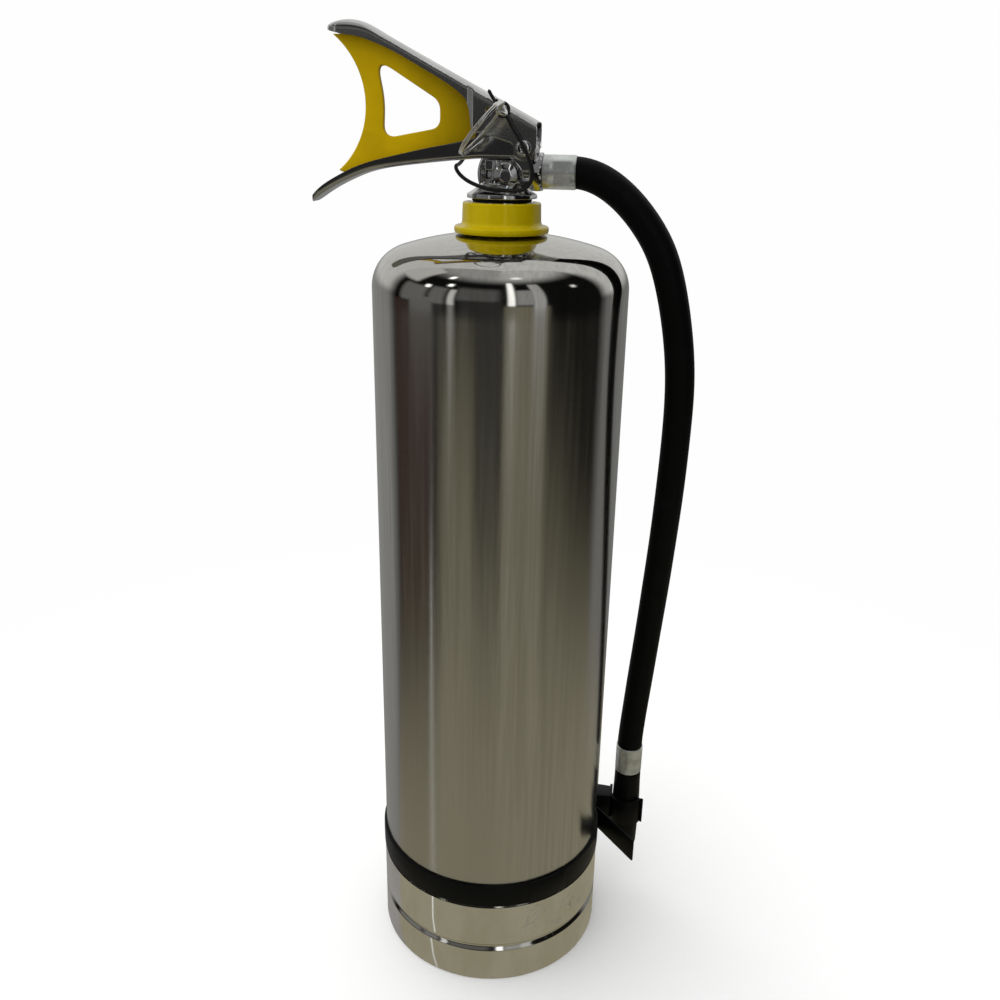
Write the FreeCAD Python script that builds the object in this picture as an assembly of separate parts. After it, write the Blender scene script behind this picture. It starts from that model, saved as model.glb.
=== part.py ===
"""Free-standing stainless fire extinguisher with a squeeze-lever valve and a side hose.

Millimetres, +Z up. The origin is the centre of the base, on the floor.
-X is the way the handles point, +X is the hose outlet, +Y is the pressure gauge side.
"""
import FreeCAD, Part
import math
import os

from FreeCAD import Vector

# ---------------------------------------------------------------- cylinder
TANK_R = 76.0
TANK_WALL = 1.2
TANK_LOW_EDGE = 31.2
SHOULDER_Z = 458.0
KNUCKLE_R = 24.0
CROWN_R = 200.7
SKIRT_WALL = 1.05
SKIRT_TOP = 61.5
BEAD_Z = 28.0
BEAD_HALF = 2.9
BEAD_DEPTH = 1.5
HEM_WIDTH = 6.0
DISH_RIM_Z = 36.0
DISH_LOW_Z = 12.0
DISH_FLANGE = 10.0
FIT = 0.05              # radial gap of screwed and running fits

# ---------------------------------------------------------------- neck
NECK_R = 18.5
NECK_BORE = 15.0
NECK_TOP = 506.6
NECK_LOW = 482.0
NECK_SHOULDER_R = 22.0
COLLAR_TOP = 506.4
COLLAR_LOW = 489.2
COLLAR_R = 22.9
COLLAR_FLANGE_R = 27.6
COLLAR_FLANGE_H = 4.2

# ---------------------------------------------------------------- strap and nozzle clip
STRAP_LOW = 63.2
STRAP_TOP = 80.0
STRAP_T = 1.5
CLIP_ANGLE = 18.5       # where the nozzle hangs, from +X towards +Y
CLIP_RHO = 101.7
CLIP_LOW = 64.0
CLIP_TOP = 84.0
CLIP_WALL = 2.0
NOZZLE_R = 9.8

# ---------------------------------------------------------------- valve
OUTLET_Z = 523.3
VALVE_TOP = 529.8
FLANGE_Z = 508.6
FLANGE_R = 20.3
SHANK_LOW = 478.0
SEAT_Z = 505.0
STEM_R = 2.0
STEM_TOP = 537.4
PORT_Z = 521.0
LUG_X = 6.5
NIPPLE_END = 17.2
THREAD_R = 6.9
THREAD_END = 20.0
SHANK_BORE = 9.0
STEM_BORE = 4.5         # the gland's bore and the outlet's
PORT_BORE = 4.0         # gauge and side plug ports
BOSS_R = 8.6
BOSS_END = -13.6
NIPPLE_R = 8.0
PLUG_END = -11.4
PLUG_R = 6.2
VALVE_HALF = 8.8        # half width of the valve's top block
DISC_R = 7.4
GLAND_LOW = 526.6
SPRING_LOW = 489.9
PIPE_R = 7.0
PIPE_BORE = 6.0
PIPE_LOW = 18.0

# ---------------------------------------------------------------- handles
SHEET = 1.5
HANDLE_HALF = 10.5      # outer half width of the carry handle and of the lever's front
CHEEK_HALF = 12.5       # outer half width of the lever's cheeks
CHEEK_TOP = 547.2       # the carry handle's cheeks end under the safety pin's path
PIVOT = (13.2, 535.8)   # lever pivot, x and z
LEVER_SLOPE = -0.505
LEVER_REF = (-68.3, 594.4)
LOBE_R = 6.6            # round end of the lever's cheeks
RIVET_R = 2.5
SPARE_HOLE = (-6.4, 555.0)
SPARE_HOLE_R = 2.0
PIN_AT = (1.5, 555.6)
PIN_R = 1.75
PRESSER_AT = (0.0, 540.0)
PRESSER_R = 2.5
INSERT_HALF = 2.0

# ---------------------------------------------------------------- hose
HOSE_R = 8.8
HOSE_BORE = 5.0
HOSE_START = 26.5       # x of the hose's upper end
HOSE_LOW = 109.5        # height of the hose's lower end
HOSE_RINGS = 64         # sections along the hose
TAIL_BORE = 3.4         # bore of the hose's end fittings
TAIL_NECK_R = 5.6
BARB_R = 4.7
FERRULE_R = 9.45
FERRULE_GAP = 0.25      # radial gap between hose and ferrule
NUT_X = (17.8, 23.3)
NUT_ACROSS = 20.6
FERRULE_X = (23.4, 42.4)
FERRULE_Z = (106.0, 127.0)
NOZZLE_LOW = 41.0

# ---------------------------------------------------------------- gauge
GAUGE_X = -1.5
GAUGE_Z = 520.5
GAUGE_R = 17.0
GAUGE_WALL = 1.2
GAUGE_BACK = 23.8
GAUGE_FRONT = 35.5

X_AXIS = Vector(1, 0, 0)
Y_AXIS = Vector(0, 1, 0)
Z_AXIS = Vector(0, 0, 1)


def cyl(radius, start, length, axis=Z_AXIS):
    """A cylinder from the point start along axis."""
    return Part.makeCylinder(radius, length, Vector(*start), axis)


def tube(outer, inner, start, length, axis=Z_AXIS):
    """A plain tube."""
    return cyl(outer, start, length, axis).cut(cyl(inner, start, length, axis))


def box(low, high):
    """A box between two corners."""
    size = [high[i] - low[i] for i in range(3)]
    return Part.makeBox(size[0], size[1], size[2], Vector(*low))


def spin(points, centre=(0, 0, 0), axis=Z_AXIS, across=X_AXIS):
    """Revolve a closed outline of (radius, height) points about axis."""
    base = Vector(*centre)
    corners = [base + across * r + axis * h for r, h in points]
    face = Part.Face(Part.makePolygon(corners + [corners[0]]))
    return face.revolve(base, axis, 360)


def plate(points, y_low, y_high):
    """A flat plate: a closed outline of (x, z) points, from y_low to y_high."""
    corners = [Vector(x, y_low, z) for x, z in points]
    face = Part.Face(Part.makePolygon(corners + [corners[0]]))
    return face.extrude(Vector(0, y_high - y_low, 0))


def both_sides(points, inner, outer):
    """The same plate on the near and the far side."""
    return [plate(points, -outer, -inner), plate(points, inner, outer)]


def fuse(shapes):
    """One solid from many."""
    return shapes[0].multiFuse(shapes[1:]).removeSplitter()


def smooth_edge(points):
    """A smooth curve through points."""
    curve = Part.BSplineCurve()
    curve.interpolate([Vector(*p) for p in points])
    return curve.toShape()


def sweep(points, radius, stations, ruled=False):
    """A round rod lofted through circles square to a smooth curve, without twist.

    Ruled means straight from circle to circle, which keeps a straight stretch exactly straight.
    """
    edge = smooth_edge(points)
    across = Z_AXIS.cross(edge.tangentAt(edge.FirstParameter))
    rings = []
    for i in range(stations):
        at = edge.getParameterByLength(edge.Length * i / (stations - 1))
        along = edge.tangentAt(at)
        across = (across - along * across.dot(along)).normalize()
        circle = Part.Circle(edge.valueAt(at), along, radius)
        circle.XAxis = across
        rings.append(Part.Wire(circle.toShape()))
    return Part.makeLoft(rings, True, ruled)


def arc_points(centre, radius, start, end, count):
    """Points on an arc in a plane, angles in degrees."""
    step = (end - start) / (count - 1)
    angles = [math.radians(start + step * i) for i in range(count)]
    return [(centre[0] + radius * math.cos(a), centre[1] + radius * math.sin(a)) for a in angles]


def hexagon(across, start, length, axis):
    """A hexagonal prism, across flats."""
    side = across / math.sqrt(3)
    one = Y_AXIS if abs(axis.dot(X_AXIS)) > 0.5 else X_AXIS
    two = axis.cross(one)
    corners = []
    for i in range(6):
        a = math.radians(60 * i)
        corners.append(Vector(*start) + one * (side * math.cos(a)) + two * (side * math.sin(a)))
    return Part.Face(Part.makePolygon(corners + [corners[0]])).extrude(axis * length)


# ================================================================ cylinder
def dome_line(inset, neck_r):
    """The shell's profile from the shoulder to the neck, moved inwards by inset."""
    knuckle_x = TANK_R - KNUCKLE_R
    crown_z = SHOULDER_Z - math.sqrt((CROWN_R - KNUCKLE_R) ** 2 - knuckle_x ** 2)
    join = math.degrees(math.atan2(SHOULDER_Z - crown_z, knuckle_x))
    top = math.degrees(math.acos(neck_r / (CROWN_R - inset)))
    knuckle = arc_points((knuckle_x, SHOULDER_Z), KNUCKLE_R - inset, 0, join, 10)
    crown = arc_points((0, crown_z), CROWN_R - inset, join, top, 12)
    return knuckle + crown[1:]


def tank_shell():
    outer = [(TANK_R, TANK_LOW_EDGE)] + dome_line(0, NECK_R + FIT)
    inner = [(TANK_R - TANK_WALL, TANK_LOW_EDGE)] + dome_line(TANK_WALL, NECK_R + FIT)
    return spin(outer + inner[::-1])


def tank_bottom():
    rim = TANK_R - TANK_WALL - FIT
    depth = DISH_RIM_Z - DISH_LOW_Z
    dish_r = (rim ** 2 + depth ** 2) / (2 * depth)
    centre = (0, DISH_LOW_Z + dish_r)
    edge = math.degrees(math.asin(rim / dish_r))
    low = arc_points(centre, dish_r, -90, -90 + edge, 14)
    high = arc_points(centre, dish_r - TANK_WALL, -90, -90 + edge, 14)
    flange_top = DISH_RIM_Z + DISH_FLANGE
    lip = [(rim, flange_top), (rim - TANK_WALL, flange_top), (rim - TANK_WALL, high[-1][1] + 0.2)]
    return spin(low + lip + high[:-1][::-1])


def tank_base_skirt():
    inner = TANK_R + FIT
    outer = inner + SKIRT_WALL
    wave = [math.radians(a) for a in range(-180, 181, 30)]

    def bead(radius):
        return [(radius - BEAD_DEPTH * (1 + math.cos(a)) / 2, BEAD_Z + BEAD_HALF * a / math.pi)
                for a in wave]

    outside = [(outer - 0.8, 0), (outer, 0.8)] + bead(outer) + [(outer, SKIRT_TOP)]
    inside = [(inner, SKIRT_TOP)] + bead(inner)[::-1] + [(inner, SKIRT_WALL)]
    hem = [(outer - HEM_WIDTH, SKIRT_WALL), (outer - HEM_WIDTH, 0)]
    return spin(outside + inside + hem)


def neck_ring():
    step_z = dome_line(TANK_WALL, NECK_SHOULDER_R)[-1][1] - FIT
    return spin([(NECK_BORE + FIT, NECK_LOW), (NECK_SHOULDER_R, NECK_LOW), (NECK_SHOULDER_R, step_z),
                 (NECK_R, step_z), (NECK_R, NECK_TOP), (NECK_BORE + FIT, NECK_TOP)])


def neck_collar():
    flange_top = COLLAR_LOW + COLLAR_FLANGE_H
    cove_r = COLLAR_FLANGE_R - COLLAR_R - 1.2
    cove = arc_points((COLLAR_R + cove_r, flange_top + cove_r), cove_r, 270, 180, 6)
    inner = NECK_R + 4 * FIT
    outline = [(inner, COLLAR_LOW), (COLLAR_FLANGE_R - 0.8, COLLAR_LOW), (COLLAR_FLANGE_R, COLLAR_LOW + 0.8),
               (COLLAR_FLANGE_R, flange_top - 1.0), (COLLAR_FLANGE_R - 1.0, flange_top)]
    top = [(COLLAR_R, COLLAR_TOP - 0.8), (COLLAR_R - 0.8, COLLAR_TOP), (inner, COLLAR_TOP)]
    return spin(outline + cove + top)


# ================================================================ strap and clip
def clip_centre():
    a = math.radians(CLIP_ANGLE)
    return CLIP_RHO * math.cos(a), CLIP_RHO * math.sin(a)


def strap_outer():
    return TANK_R + FIT + STRAP_T


def tank_strap():
    """The band round the tank and its free end, which leaves outwards just before the clip."""
    height = STRAP_TOP - STRAP_LOW
    band = tube(strap_outer(), TANK_R + FIT, (0, 0, STRAP_LOW), height)
    start = Vector(75.4, 17.2, STRAP_LOW)
    tip = Vector(102.8, -16.2, STRAP_LOW)
    along = (tip - start).normalize()
    side = Vector(along.y, -along.x, 0) * STRAP_T
    corners = [start, tip, tip - side, start - side]
    tail = Part.Face(Part.makePolygon(corners + [corners[0]])).extrude(Vector(0, 0, height))
    tail = tail.cut(cyl(TANK_R + FIT, (0, 0, STRAP_LOW), height))
    return fuse([band, tail])


def hose_clip():
    """A block on the strap with an open cradle; the nozzle leaves it towards +Y."""
    cx, cy = clip_centre()
    inner = NOZZLE_R + 0.35
    outer = inner + CLIP_WALL
    height = CLIP_TOP - CLIP_LOW
    ring = tube(outer, inner, (cx, cy, CLIP_LOW), height)
    near_half = box((cx - outer, cy - outer, CLIP_LOW), (cx + outer, cy, CLIP_TOP))
    mouth = box((cx + 5, cy - 4.5, CLIP_LOW), (cx + outer + 1, cy + 1, CLIP_TOP))
    cradle = ring.common(near_half).cut(mouth)
    arm = box((cx - outer, cy - 0.01, CLIP_LOW), (cx - inner, cy + 9, CLIP_TOP))
    lip = box((cx + inner - 0.6, cy - 6.4, CLIP_LOW), (cx + outer + 1.3, cy - 4.5, CLIP_TOP))
    block = box((cx - outer - 12, cy - 8.5, CLIP_LOW + 1), (cx - outer + 0.5, cy + 6, CLIP_TOP + 1))
    foot = box((cx - outer - 12, cy - 6, STRAP_LOW + 0.3), (cx - outer - 3, cy + 12, STRAP_TOP))
    body = fuse([cradle, arm, lip, block, foot])
    body = body.cut(cyl(inner, (cx, cy, CLIP_LOW - 3), height + 8))
    return body.cut(cyl(strap_outer() + FIT, (0, 0, CLIP_LOW - 5), height + 12))


# ================================================================ valve
def web_line(x):
    """Height of the lever's outer top face at x."""
    return LEVER_REF[1] + LEVER_SLOPE * (x - LEVER_REF[0])


def valve_body():
    shank = cyl(NECK_BORE, (0, 0, SHANK_LOW), FLANGE_Z - SHANK_LOW)
    bell = arc_points((FLANGE_R - 0.4, 519.3), 7.6, 270, 190, 7)
    flange = spin([(0, FLANGE_Z), (FLANGE_R - 0.6, FLANGE_Z), (FLANGE_R, FLANGE_Z + 0.6),
                   (FLANGE_R, FLANGE_Z + 2.0)] + bell + [(11.5, 520.0), (0, 520.0)])
    body = cyl(9.6, (0, 0, 515), VALVE_TOP - 515)
    top = box((-8.0, -VALVE_HALF, 526.0), (14.0, VALVE_HALF, VALVE_TOP))
    lug_r = PIVOT[0] - LUG_X
    lug_wall = box((LUG_X, -VALVE_HALF, 524.0), (PIVOT[0] + lug_r, VALVE_HALF, PIVOT[1]))
    lug_round = cyl(lug_r, (PIVOT[0], -VALVE_HALF, PIVOT[1]), 2 * VALVE_HALF, Y_AXIS)
    boss = cyl(BOSS_R, (3.6, BOSS_END, PORT_Z), -BOSS_END, Y_AXIS)
    boss = boss.makeChamfer(2.0, [e for e in boss.Edges if e.BoundBox.YMax < BOSS_END + FIT])
    nipple = cyl(NIPPLE_R, (LUG_X, 0, OUTLET_Z), NIPPLE_END - LUG_X, X_AXIS)
    thread = cyl(THREAD_R, (LUG_X, 0, OUTLET_Z), THREAD_END - LUG_X, X_AXIS)
    gauge_boss = cyl(6.5, (GAUGE_X, 5, GAUGE_Z), 9, Y_AXIS)
    solid = fuse([shank, flange, body, top, lug_wall, lug_round, boss, nipple, thread, gauge_boss])
    bores = [cyl(SHANK_BORE, (0, 0, SHANK_LOW), SEAT_Z - SHANK_LOW),
             cyl(STEM_BORE, (0, 0, SEAT_Z), GLAND_LOW - SEAT_Z),
             cyl(STEM_BORE + FIT, (0, 0, GLAND_LOW - 0.1), 10),
             cyl(STEM_BORE, (0, 0, OUTLET_Z), THREAD_END + 1, X_AXIS),
             cyl(PORT_BORE + FIT, (GAUGE_X, 0, GAUGE_Z), 15, Y_AXIS),
             cyl(PORT_BORE + FIT, (-12, 0, PORT_Z), 12, X_AXIS),
             cyl(RIVET_R + FIT, (PIVOT[0], -10, PIVOT[1]), 20, Y_AXIS)]
    for bore in bores:
        solid = solid.cut(bore)
    nut_room = tube(12.0, THREAD_R, (NUT_X[0] - 0.3, 0, OUTLET_Z), 4, X_AXIS)
    plug_face = box((-13, -13, 514.0), (-7.6, 13, 528.0))
    return solid.cut(nut_room).cut(plug_face)


def ring_seal(major, minor, centre, axis=Z_AXIS):
    return Part.makeTorus(major, minor, Vector(*centre), axis)


def valve_stem():
    rod = cyl(STEM_R, (0, 0, 497), STEM_TOP - 497)
    disc = cyl(DISC_R, (0, 0, 500), 3)
    return fuse([rod, disc])


def stem_gland():
    seat = VALVE_TOP + SHEET + 2 * FIT
    body = cyl(STEM_BORE, (0, 0, GLAND_LOW), seat - GLAND_LOW)
    head = hexagon(9.6, (0, 0, seat), 1.3, Z_AXIS)
    groove = tube(3.95, STEM_R, (0, 0, 527.05), 1.9)
    return fuse([body, head]).cut(groove).cut(cyl(STEM_R + FIT, (0, 0, 520), 20))


def stem_spring():
    coils, steps, radius, pitch = 4, 12, 5.4, 2.3
    points = []
    for i in range(coils * steps + 1):
        a = 2 * math.pi * i / steps
        points.append((radius * math.cos(a), radius * math.sin(a), SPRING_LOW + pitch * i / steps))
    edge = smooth_edge(points)
    tangent = edge.tangentAt(edge.FirstParameter)
    ring = Part.Wire(Part.makeCircle(0.8, edge.valueAt(edge.FirstParameter), tangent))
    return Part.Wire(edge).makePipeShell([ring], True, True)


def spring_retainer():
    cup = cyl(SHANK_BORE - FIT, (0, 0, 486.0), 3.0).cut(cyl(2.2, (0, 0, 485), 5))
    for i in range(6):
        a = math.radians(60 * i)
        cup = cup.cut(cyl(1.5, (5.2 * math.cos(a), 5.2 * math.sin(a), 485), 5))
    return cup


def dip_tube():
    flare = tube(SHANK_BORE - FIT, PIPE_BORE, (0, 0, SHANK_LOW + 1), 6.9)
    pipe = tube(PIPE_R, PIPE_BORE, (0, 0, PIPE_LOW), SHANK_LOW + 1.5 - PIPE_LOW)
    return fuse([flare, pipe])


def side_plug():
    thread = cyl(PORT_BORE, (-7.5, 0, PORT_Z), 3.0, X_AXIS)
    head = cyl(PLUG_R, (PLUG_END, 0, PORT_Z), 3.1, X_AXIS)
    for groove in (0.7, 1.7):
        head = head.cut(tube(PLUG_R + 1, PLUG_R - 0.6, (PLUG_END + groove, 0, PORT_Z), 0.5, X_AXIS))
    neck = cyl(3.0, (-8.4, 0, PORT_Z), 1.0, X_AXIS)
    return fuse([thread, neck, head])


# ================================================================ gauge
def gauge_case():
    stem = cyl(PORT_BORE, (GAUGE_X, 6.5, GAUGE_Z), GAUGE_BACK - 6, Y_AXIS)
    hexa = hexagon(11, (GAUGE_X, 15, GAUGE_Z), 5, Y_AXIS)
    cup = cyl(GAUGE_R, (GAUGE_X, GAUGE_BACK, GAUGE_Z), 9.5, Y_AXIS)
    hollow = cyl(GAUGE_R - GAUGE_WALL, (GAUGE_X, GAUGE_BACK + 1.5, GAUGE_Z), 10, Y_AXIS)
    passage = cyl(1.2, (GAUGE_X, 6, GAUGE_Z), 16, Y_AXIS)
    return fuse([stem, hexa, cup]).cut(hollow).cut(passage)


def gauge_bezel():
    centre = (GAUGE_X, GAUGE_BACK + 4, GAUGE_Z)
    side = tube(GAUGE_R + 0.9, GAUGE_R + FIT, centre, GAUGE_FRONT - centre[1], Y_AXIS)
    lip_at = (GAUGE_X, GAUGE_FRONT - 1.0, GAUGE_Z)
    return fuse([side, tube(GAUGE_R + 0.9, GAUGE_R - 2, lip_at, 1.0, Y_AXIS)])


def gauge_needle():
    y_low, y_high = GAUGE_BACK + 8.2, GAUGE_BACK + 8.7
    blade = plate([(GAUGE_X - 1.0, GAUGE_Z - 4), (GAUGE_X + 1.0, GAUGE_Z - 4),
                   (GAUGE_X + 0.3, GAUGE_Z + 12), (GAUGE_X - 0.3, GAUGE_Z + 12)], y_low, y_high)
    hub = cyl(1.8, (GAUGE_X, y_low, GAUGE_Z), y_high - y_low, Y_AXIS)
    return fuse([blade, hub]).cut(cyl(0.8, (GAUGE_X, y_low - 1, GAUGE_Z), 3, Y_AXIS))


def gauge_bourdon_tube():
    """A flattened C of tube from the inlet boss; its free end drives the arbor."""
    full = Part.makeTorus(9.5, 1.3, Vector(GAUGE_X, GAUGE_BACK + 3.6, GAUGE_Z), Y_AXIS)
    gap = box((GAUGE_X - 1, GAUGE_BACK, GAUGE_Z - 14), (GAUGE_X + 14, GAUGE_BACK + 7, GAUGE_Z + 1))
    return full.cut(gap)


# ================================================================ handles
def cross_hole(radius, at):
    """A cutter through both cheeks at the point (x, z)."""
    return cyl(radius, (at[0], -2 * HANDLE_HALF, at[1]), 4 * HANDLE_HALF, Y_AXIS)


def carry_handle():
    """A stamped channel, open on top, whose cheeks stand up either side of the valve."""
    under = [(-111.4, 504.2), (-106.4, 507.6), (-100.6, 511.2), (-89.6, 516.7), (-78.8, 520.9),
             (-68.1, 523.4), (-58.9, 524.8), (-47.1, 526.3), (-33.2, 527.9), (-20.0, 529.2),
             (-12.6, VALVE_TOP + 0.02), (6.0, VALVE_TOP + 0.02)]
    over = [(x, z + SHEET) for x, z in under]
    web = plate(under + over[::-1], -HANDLE_HALF, HANDLE_HALF)
    rail = [(-111.9, 507.2), (-104.0, 513.5), (-96.7, 517.9), (-83.6, 524.2), (-75.0, 527.1),
            (-57.4, 531.4), (-47.0, 533.8), (-33.2, 536.6), (-24.3, 538.4)]
    cheek = [(-14.5, 541.0), (-12.0, CHEEK_TOP), (13.0, CHEEK_TOP), (17.0, 543.5), (19.8, 538.0),
             (19.8, VALVE_TOP + 0.02)]
    sides = both_sides(under[:-1] + [(19.8, VALVE_TOP + 0.02)] + cheek[::-1][1:] + rail[::-1],
                       HANDLE_HALF - SHEET, HANDLE_HALF)
    body = fuse([web] + sides)
    body = body.cut(cyl(STEM_BORE + FIT, (0, 0, 520), 15))
    return body.cut(cross_hole(RIVET_R + FIT, PIVOT))


def squeeze_lever():
    """A stamped channel, open below, with two deep cheeks round the pivot."""
    back_x = 20.5
    nose = [(-98.6, 597.4), (-94.0, 598.6), (-86.0, 599.2), (-79.5, 598.6), (-74.0, 597.1), LEVER_REF]
    drop = SHEET / math.cos(math.atan(LEVER_SLOPE))
    front_top = nose + [(-15.0, web_line(-15.0))]
    front_low = [(x, z - drop) for x, z in front_top]
    web_front = plate(front_top + front_low[::-1], -HANDLE_HALF, HANDLE_HALF)
    rear = [(-19.0, web_line(-19.0)), (back_x, web_line(back_x))]
    web_rear = plate(rear + [(x, z - drop) for x, z in rear[::-1]], -CHEEK_HALF, CHEEK_HALF)
    hem = [(-98.6, 596.0), (-94.8, 594.3), (-82.6, 592.4), (-71.5, 589.2), (-61.3, 585.1),
           (-48.4, 578.6), (-34.5, 571.2), (-22.1, 562.9)]
    skirts = both_sides(front_top + [(-15.0, 560.0), (-20.0, 560.0)] + hem[::-1],
                        HANDLE_HALF - SHEET, HANDLE_HALF)
    step = [(-19.0, web_line(-19.0)), (-15.0, web_line(-15.0)), (-15.0, 559.0), (-19.0, 560.5)]
    steps = both_sides(step, HANDLE_HALF - SHEET, CHEEK_HALF)
    lobe = arc_points(PIVOT, LOBE_R, -140, 0, 8)
    cheek = [(-19.0, web_line(-19.0)), (-19.0, 560.5), (-16.1, 553.6), (-16.3, 544.2), (-10.8, 543.2),
             (-2.4, 541.0), (6.1, 538.5)] + lobe + [(back_x, web_line(back_x))]
    cheeks = both_sides(cheek, CHEEK_HALF - SHEET, CHEEK_HALF)
    body = fuse([web_front, web_rear] + skirts + steps + cheeks)
    holes = [cross_hole(RIVET_R + FIT, PIVOT), cross_hole(PIN_R + FIT, PIN_AT),
             cross_hole(SPARE_HOLE_R, SPARE_HOLE)]
    for hole in holes:
        body = body.cut(hole)
    return body


def lever_pivot_rivet():
    half = CHEEK_HALF + 0.2
    shaft = cyl(RIVET_R, (PIVOT[0], -half, PIVOT[1]), 2 * half, Y_AXIS)
    heads = []
    for sign in (-1, 1):
        profile = [(0, half), (4.4, half), (4.0, half + 1.0), (2.4, half + 1.7), (0, half + 1.9)]
        heads.append(spin([(r, sign * h) for r, h in profile], (PIVOT[0], 0, PIVOT[1]), Y_AXIS))
    return fuse([shaft] + heads)


def lever_presser():
    """A welded block under the lever's web that pushes the stem down."""
    drop = SHEET / math.cos(math.atan(LEVER_SLOPE)) + 0.03
    tops = [(-1.2, web_line(-1.2) - drop), (-8.5, web_line(-8.5) - drop)]
    foot = arc_points(PRESSER_AT, PRESSER_R, 180, 360, 9)
    return plate(tops + foot, -6.0, 6.0)


def lock_insert():
    """The flat plastic piece between the handles, with a large rounded window."""
    arc_centre, arc_r = (-125.1, 557.5), 45.9
    left = arc_points(arc_centre, arc_r, -51.2, 52.4, 15)
    top = [(-82.6, 592.8), (-71.5, 589.6), (-61.3, 585.6), (-48.4, 579.4), (-34.5, 572.2), (-21.0, 564.2),
           (-14.5, 558.0)]
    right = [(-12.0, 552.0), (-12.0, 543.0), (-15.0, 537.5)]
    low = [(-24.3, 533.2), (-47.0, 528.9), (-58.9, 527.2), (-68.1, 525.9), (-78.8, 523.3), (-88.0, 519.8)]
    body = plate(left + top + right + low, -INSERT_HALF, INSERT_HALF)
    corners = [(-72.6, 581.6), (-36.0, 559.6), (-36.0, 545.8), (-69.4, 539.4)]
    window = plate(corners, -INSERT_HALF - 1, INSERT_HALF + 1)
    upright = [e for e in window.Edges if abs(e.tangentAt(e.FirstParameter).y) > 0.9]
    return body.cut(window.makeFillet(4.2, upright))


# ================================================================ safety pin, ring and seal
RING_R = 17.0
RING_WIRE = 1.3
RING_DOWN = Vector(-0.65, 0, -0.76)     # the way the ring hangs, seen from the side
EYE_Y = -22.0
EYE_R = 4.6
RING_LEAN = math.radians(42)
EYE_LEAN = math.radians(72)


def eye_point():
    return Vector(PIN_AT[0], EYE_Y, PIN_AT[1])


def safety_pin():
    shaft = cyl(PIN_R, (PIN_AT[0], EYE_Y + 3.6, PIN_AT[1]), 36.0, Y_AXIS)
    normal = RING_DOWN * math.sin(EYE_LEAN) + Y_AXIS * math.cos(EYE_LEAN)
    start = eye_point() - normal * 0.8
    disc = Part.makeCylinder(EYE_R, 1.6, start, normal)
    hole = Part.makeCylinder(2.7, 8, eye_point() - normal * 4, normal)
    return fuse([shaft, disc]).cut(hole)


def pin_ring():
    centre = eye_point() + (RING_DOWN * math.cos(RING_LEAN) - Y_AXIS * math.sin(RING_LEAN)) * RING_R
    return Part.makeTorus(RING_R, RING_WIRE, centre, RING_DOWN.cross(Y_AXIS))


def seal_loop():
    """The small loop of the tamper tie round the pin, with its knot and cut end."""
    y = -15.0
    ring = Part.makeTorus(3.5, 1.1, Vector(PIN_AT[0], y, PIN_AT[1]), Y_AXIS)
    knot_at = (PIN_AT[0] - 3.0, y - 0.2, PIN_AT[1] + 3.0)
    away = Vector(-0.62, -0.08, 0.78)
    knot = cyl(1.9, knot_at, 2.6, away)
    tail = cyl(1.1, knot_at, 9.0, away)
    return fuse([ring, knot, tail])


def seal_band():
    """The long run of the tamper tie, round the valve and up behind the handles."""
    points = [(5.2, -15.6, 550.0), (9.0, -15.9, 544.5), (14.5, -17.0, 536.0), (18.2, -16.2, 527.5),
              (18.6, -14.5, 519.5), (14.5, -15.8, 514.4), (7.0, -18.4, 513.6), (-3.0, -18.2, 513.9),
              (-10.5, -14.0, 515.2), (-18.5, -10.0, 518.0), (-25.0, -5.0, 522.4), (-27.3, 1.0, 525.2),
              (-27.0, 8.0, 526.2), (-25.5, 13.2, 528.8), (-21.5, 14.4, 534.5), (-13.5, 14.8, 541.5),
              (-4.5, 15.0, 548.5)]
    return sweep(points, 1.15, 30)


# ================================================================ hose
def hose_points():
    """The hose's centre line, straight inside both ferrules."""
    cx, cy = clip_centre()
    start = [(HOSE_START + 3.0 * i, 0, OUTLET_Z) for i in range(7)]
    bend = [(53.0, 0, 520.9), (66.5, 0, 513.2), (80.5, 0, 499.5), (92.0, 0, 482.3), (100.3, 0.4, 459.5),
            (105.6, 1.6, 436.0), (109.2, 3.6, 410.0), (110.2, 7.0, 374.0), (108.6, 13.6, 318.0),
            (105.2, 22.2, 257.0), (100.6, 29.4, 191.0), (97.7, 31.9, 154.0)]
    end = [(cx, cy, z) for z in (132.0, 126.0, 118.0, HOSE_LOW)]
    return start + bend + end


def hose():
    outer = sweep(hose_points(), HOSE_R, HOSE_RINGS, True)
    return outer.cut(sweep(hose_points(), HOSE_BORE, HOSE_RINGS, True))


def hose_coupling_nut():
    low, high = NUT_X
    nut = hexagon(NUT_ACROSS, (low, 0, OUTLET_Z), high - low, X_AXIS)
    nut = nut.common(cyl(NUT_ACROSS / 2 + 0.9, (low, 0, OUTLET_Z), high - low, X_AXIS))
    nut = nut.cut(cyl(7.55, (low, 0, OUTLET_Z), 22.4 - low, X_AXIS))
    return nut.cut(cyl(5.7, (low, 0, OUTLET_Z), high, X_AXIS))


def hose_tail_top():
    flange = cyl(7.4, (20.85, 0, OUTLET_Z), 1.5, X_AXIS)
    neck = cyl(TAIL_NECK_R, (20.85, 0, OUTLET_Z), 4.6, X_AXIS)
    barb = cyl(BARB_R, (24, 0, OUTLET_Z), 16, X_AXIS)
    return fuse([flange, neck, barb]).cut(cyl(TAIL_BORE, (20, 0, OUTLET_Z), 30, X_AXIS))


def hose_ferrule_top():
    low, high = FERRULE_X
    outer = cyl(FERRULE_R, (low, 0, OUTLET_Z), high - low, X_AXIS)
    outer = outer.cut(cyl(TAIL_NECK_R + FIT, (low - 1, 0, OUTLET_Z), 5, X_AXIS))
    return outer.cut(cyl(HOSE_R + FERRULE_GAP, (26.0, 0, OUTLET_Z), high, X_AXIS))


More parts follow.
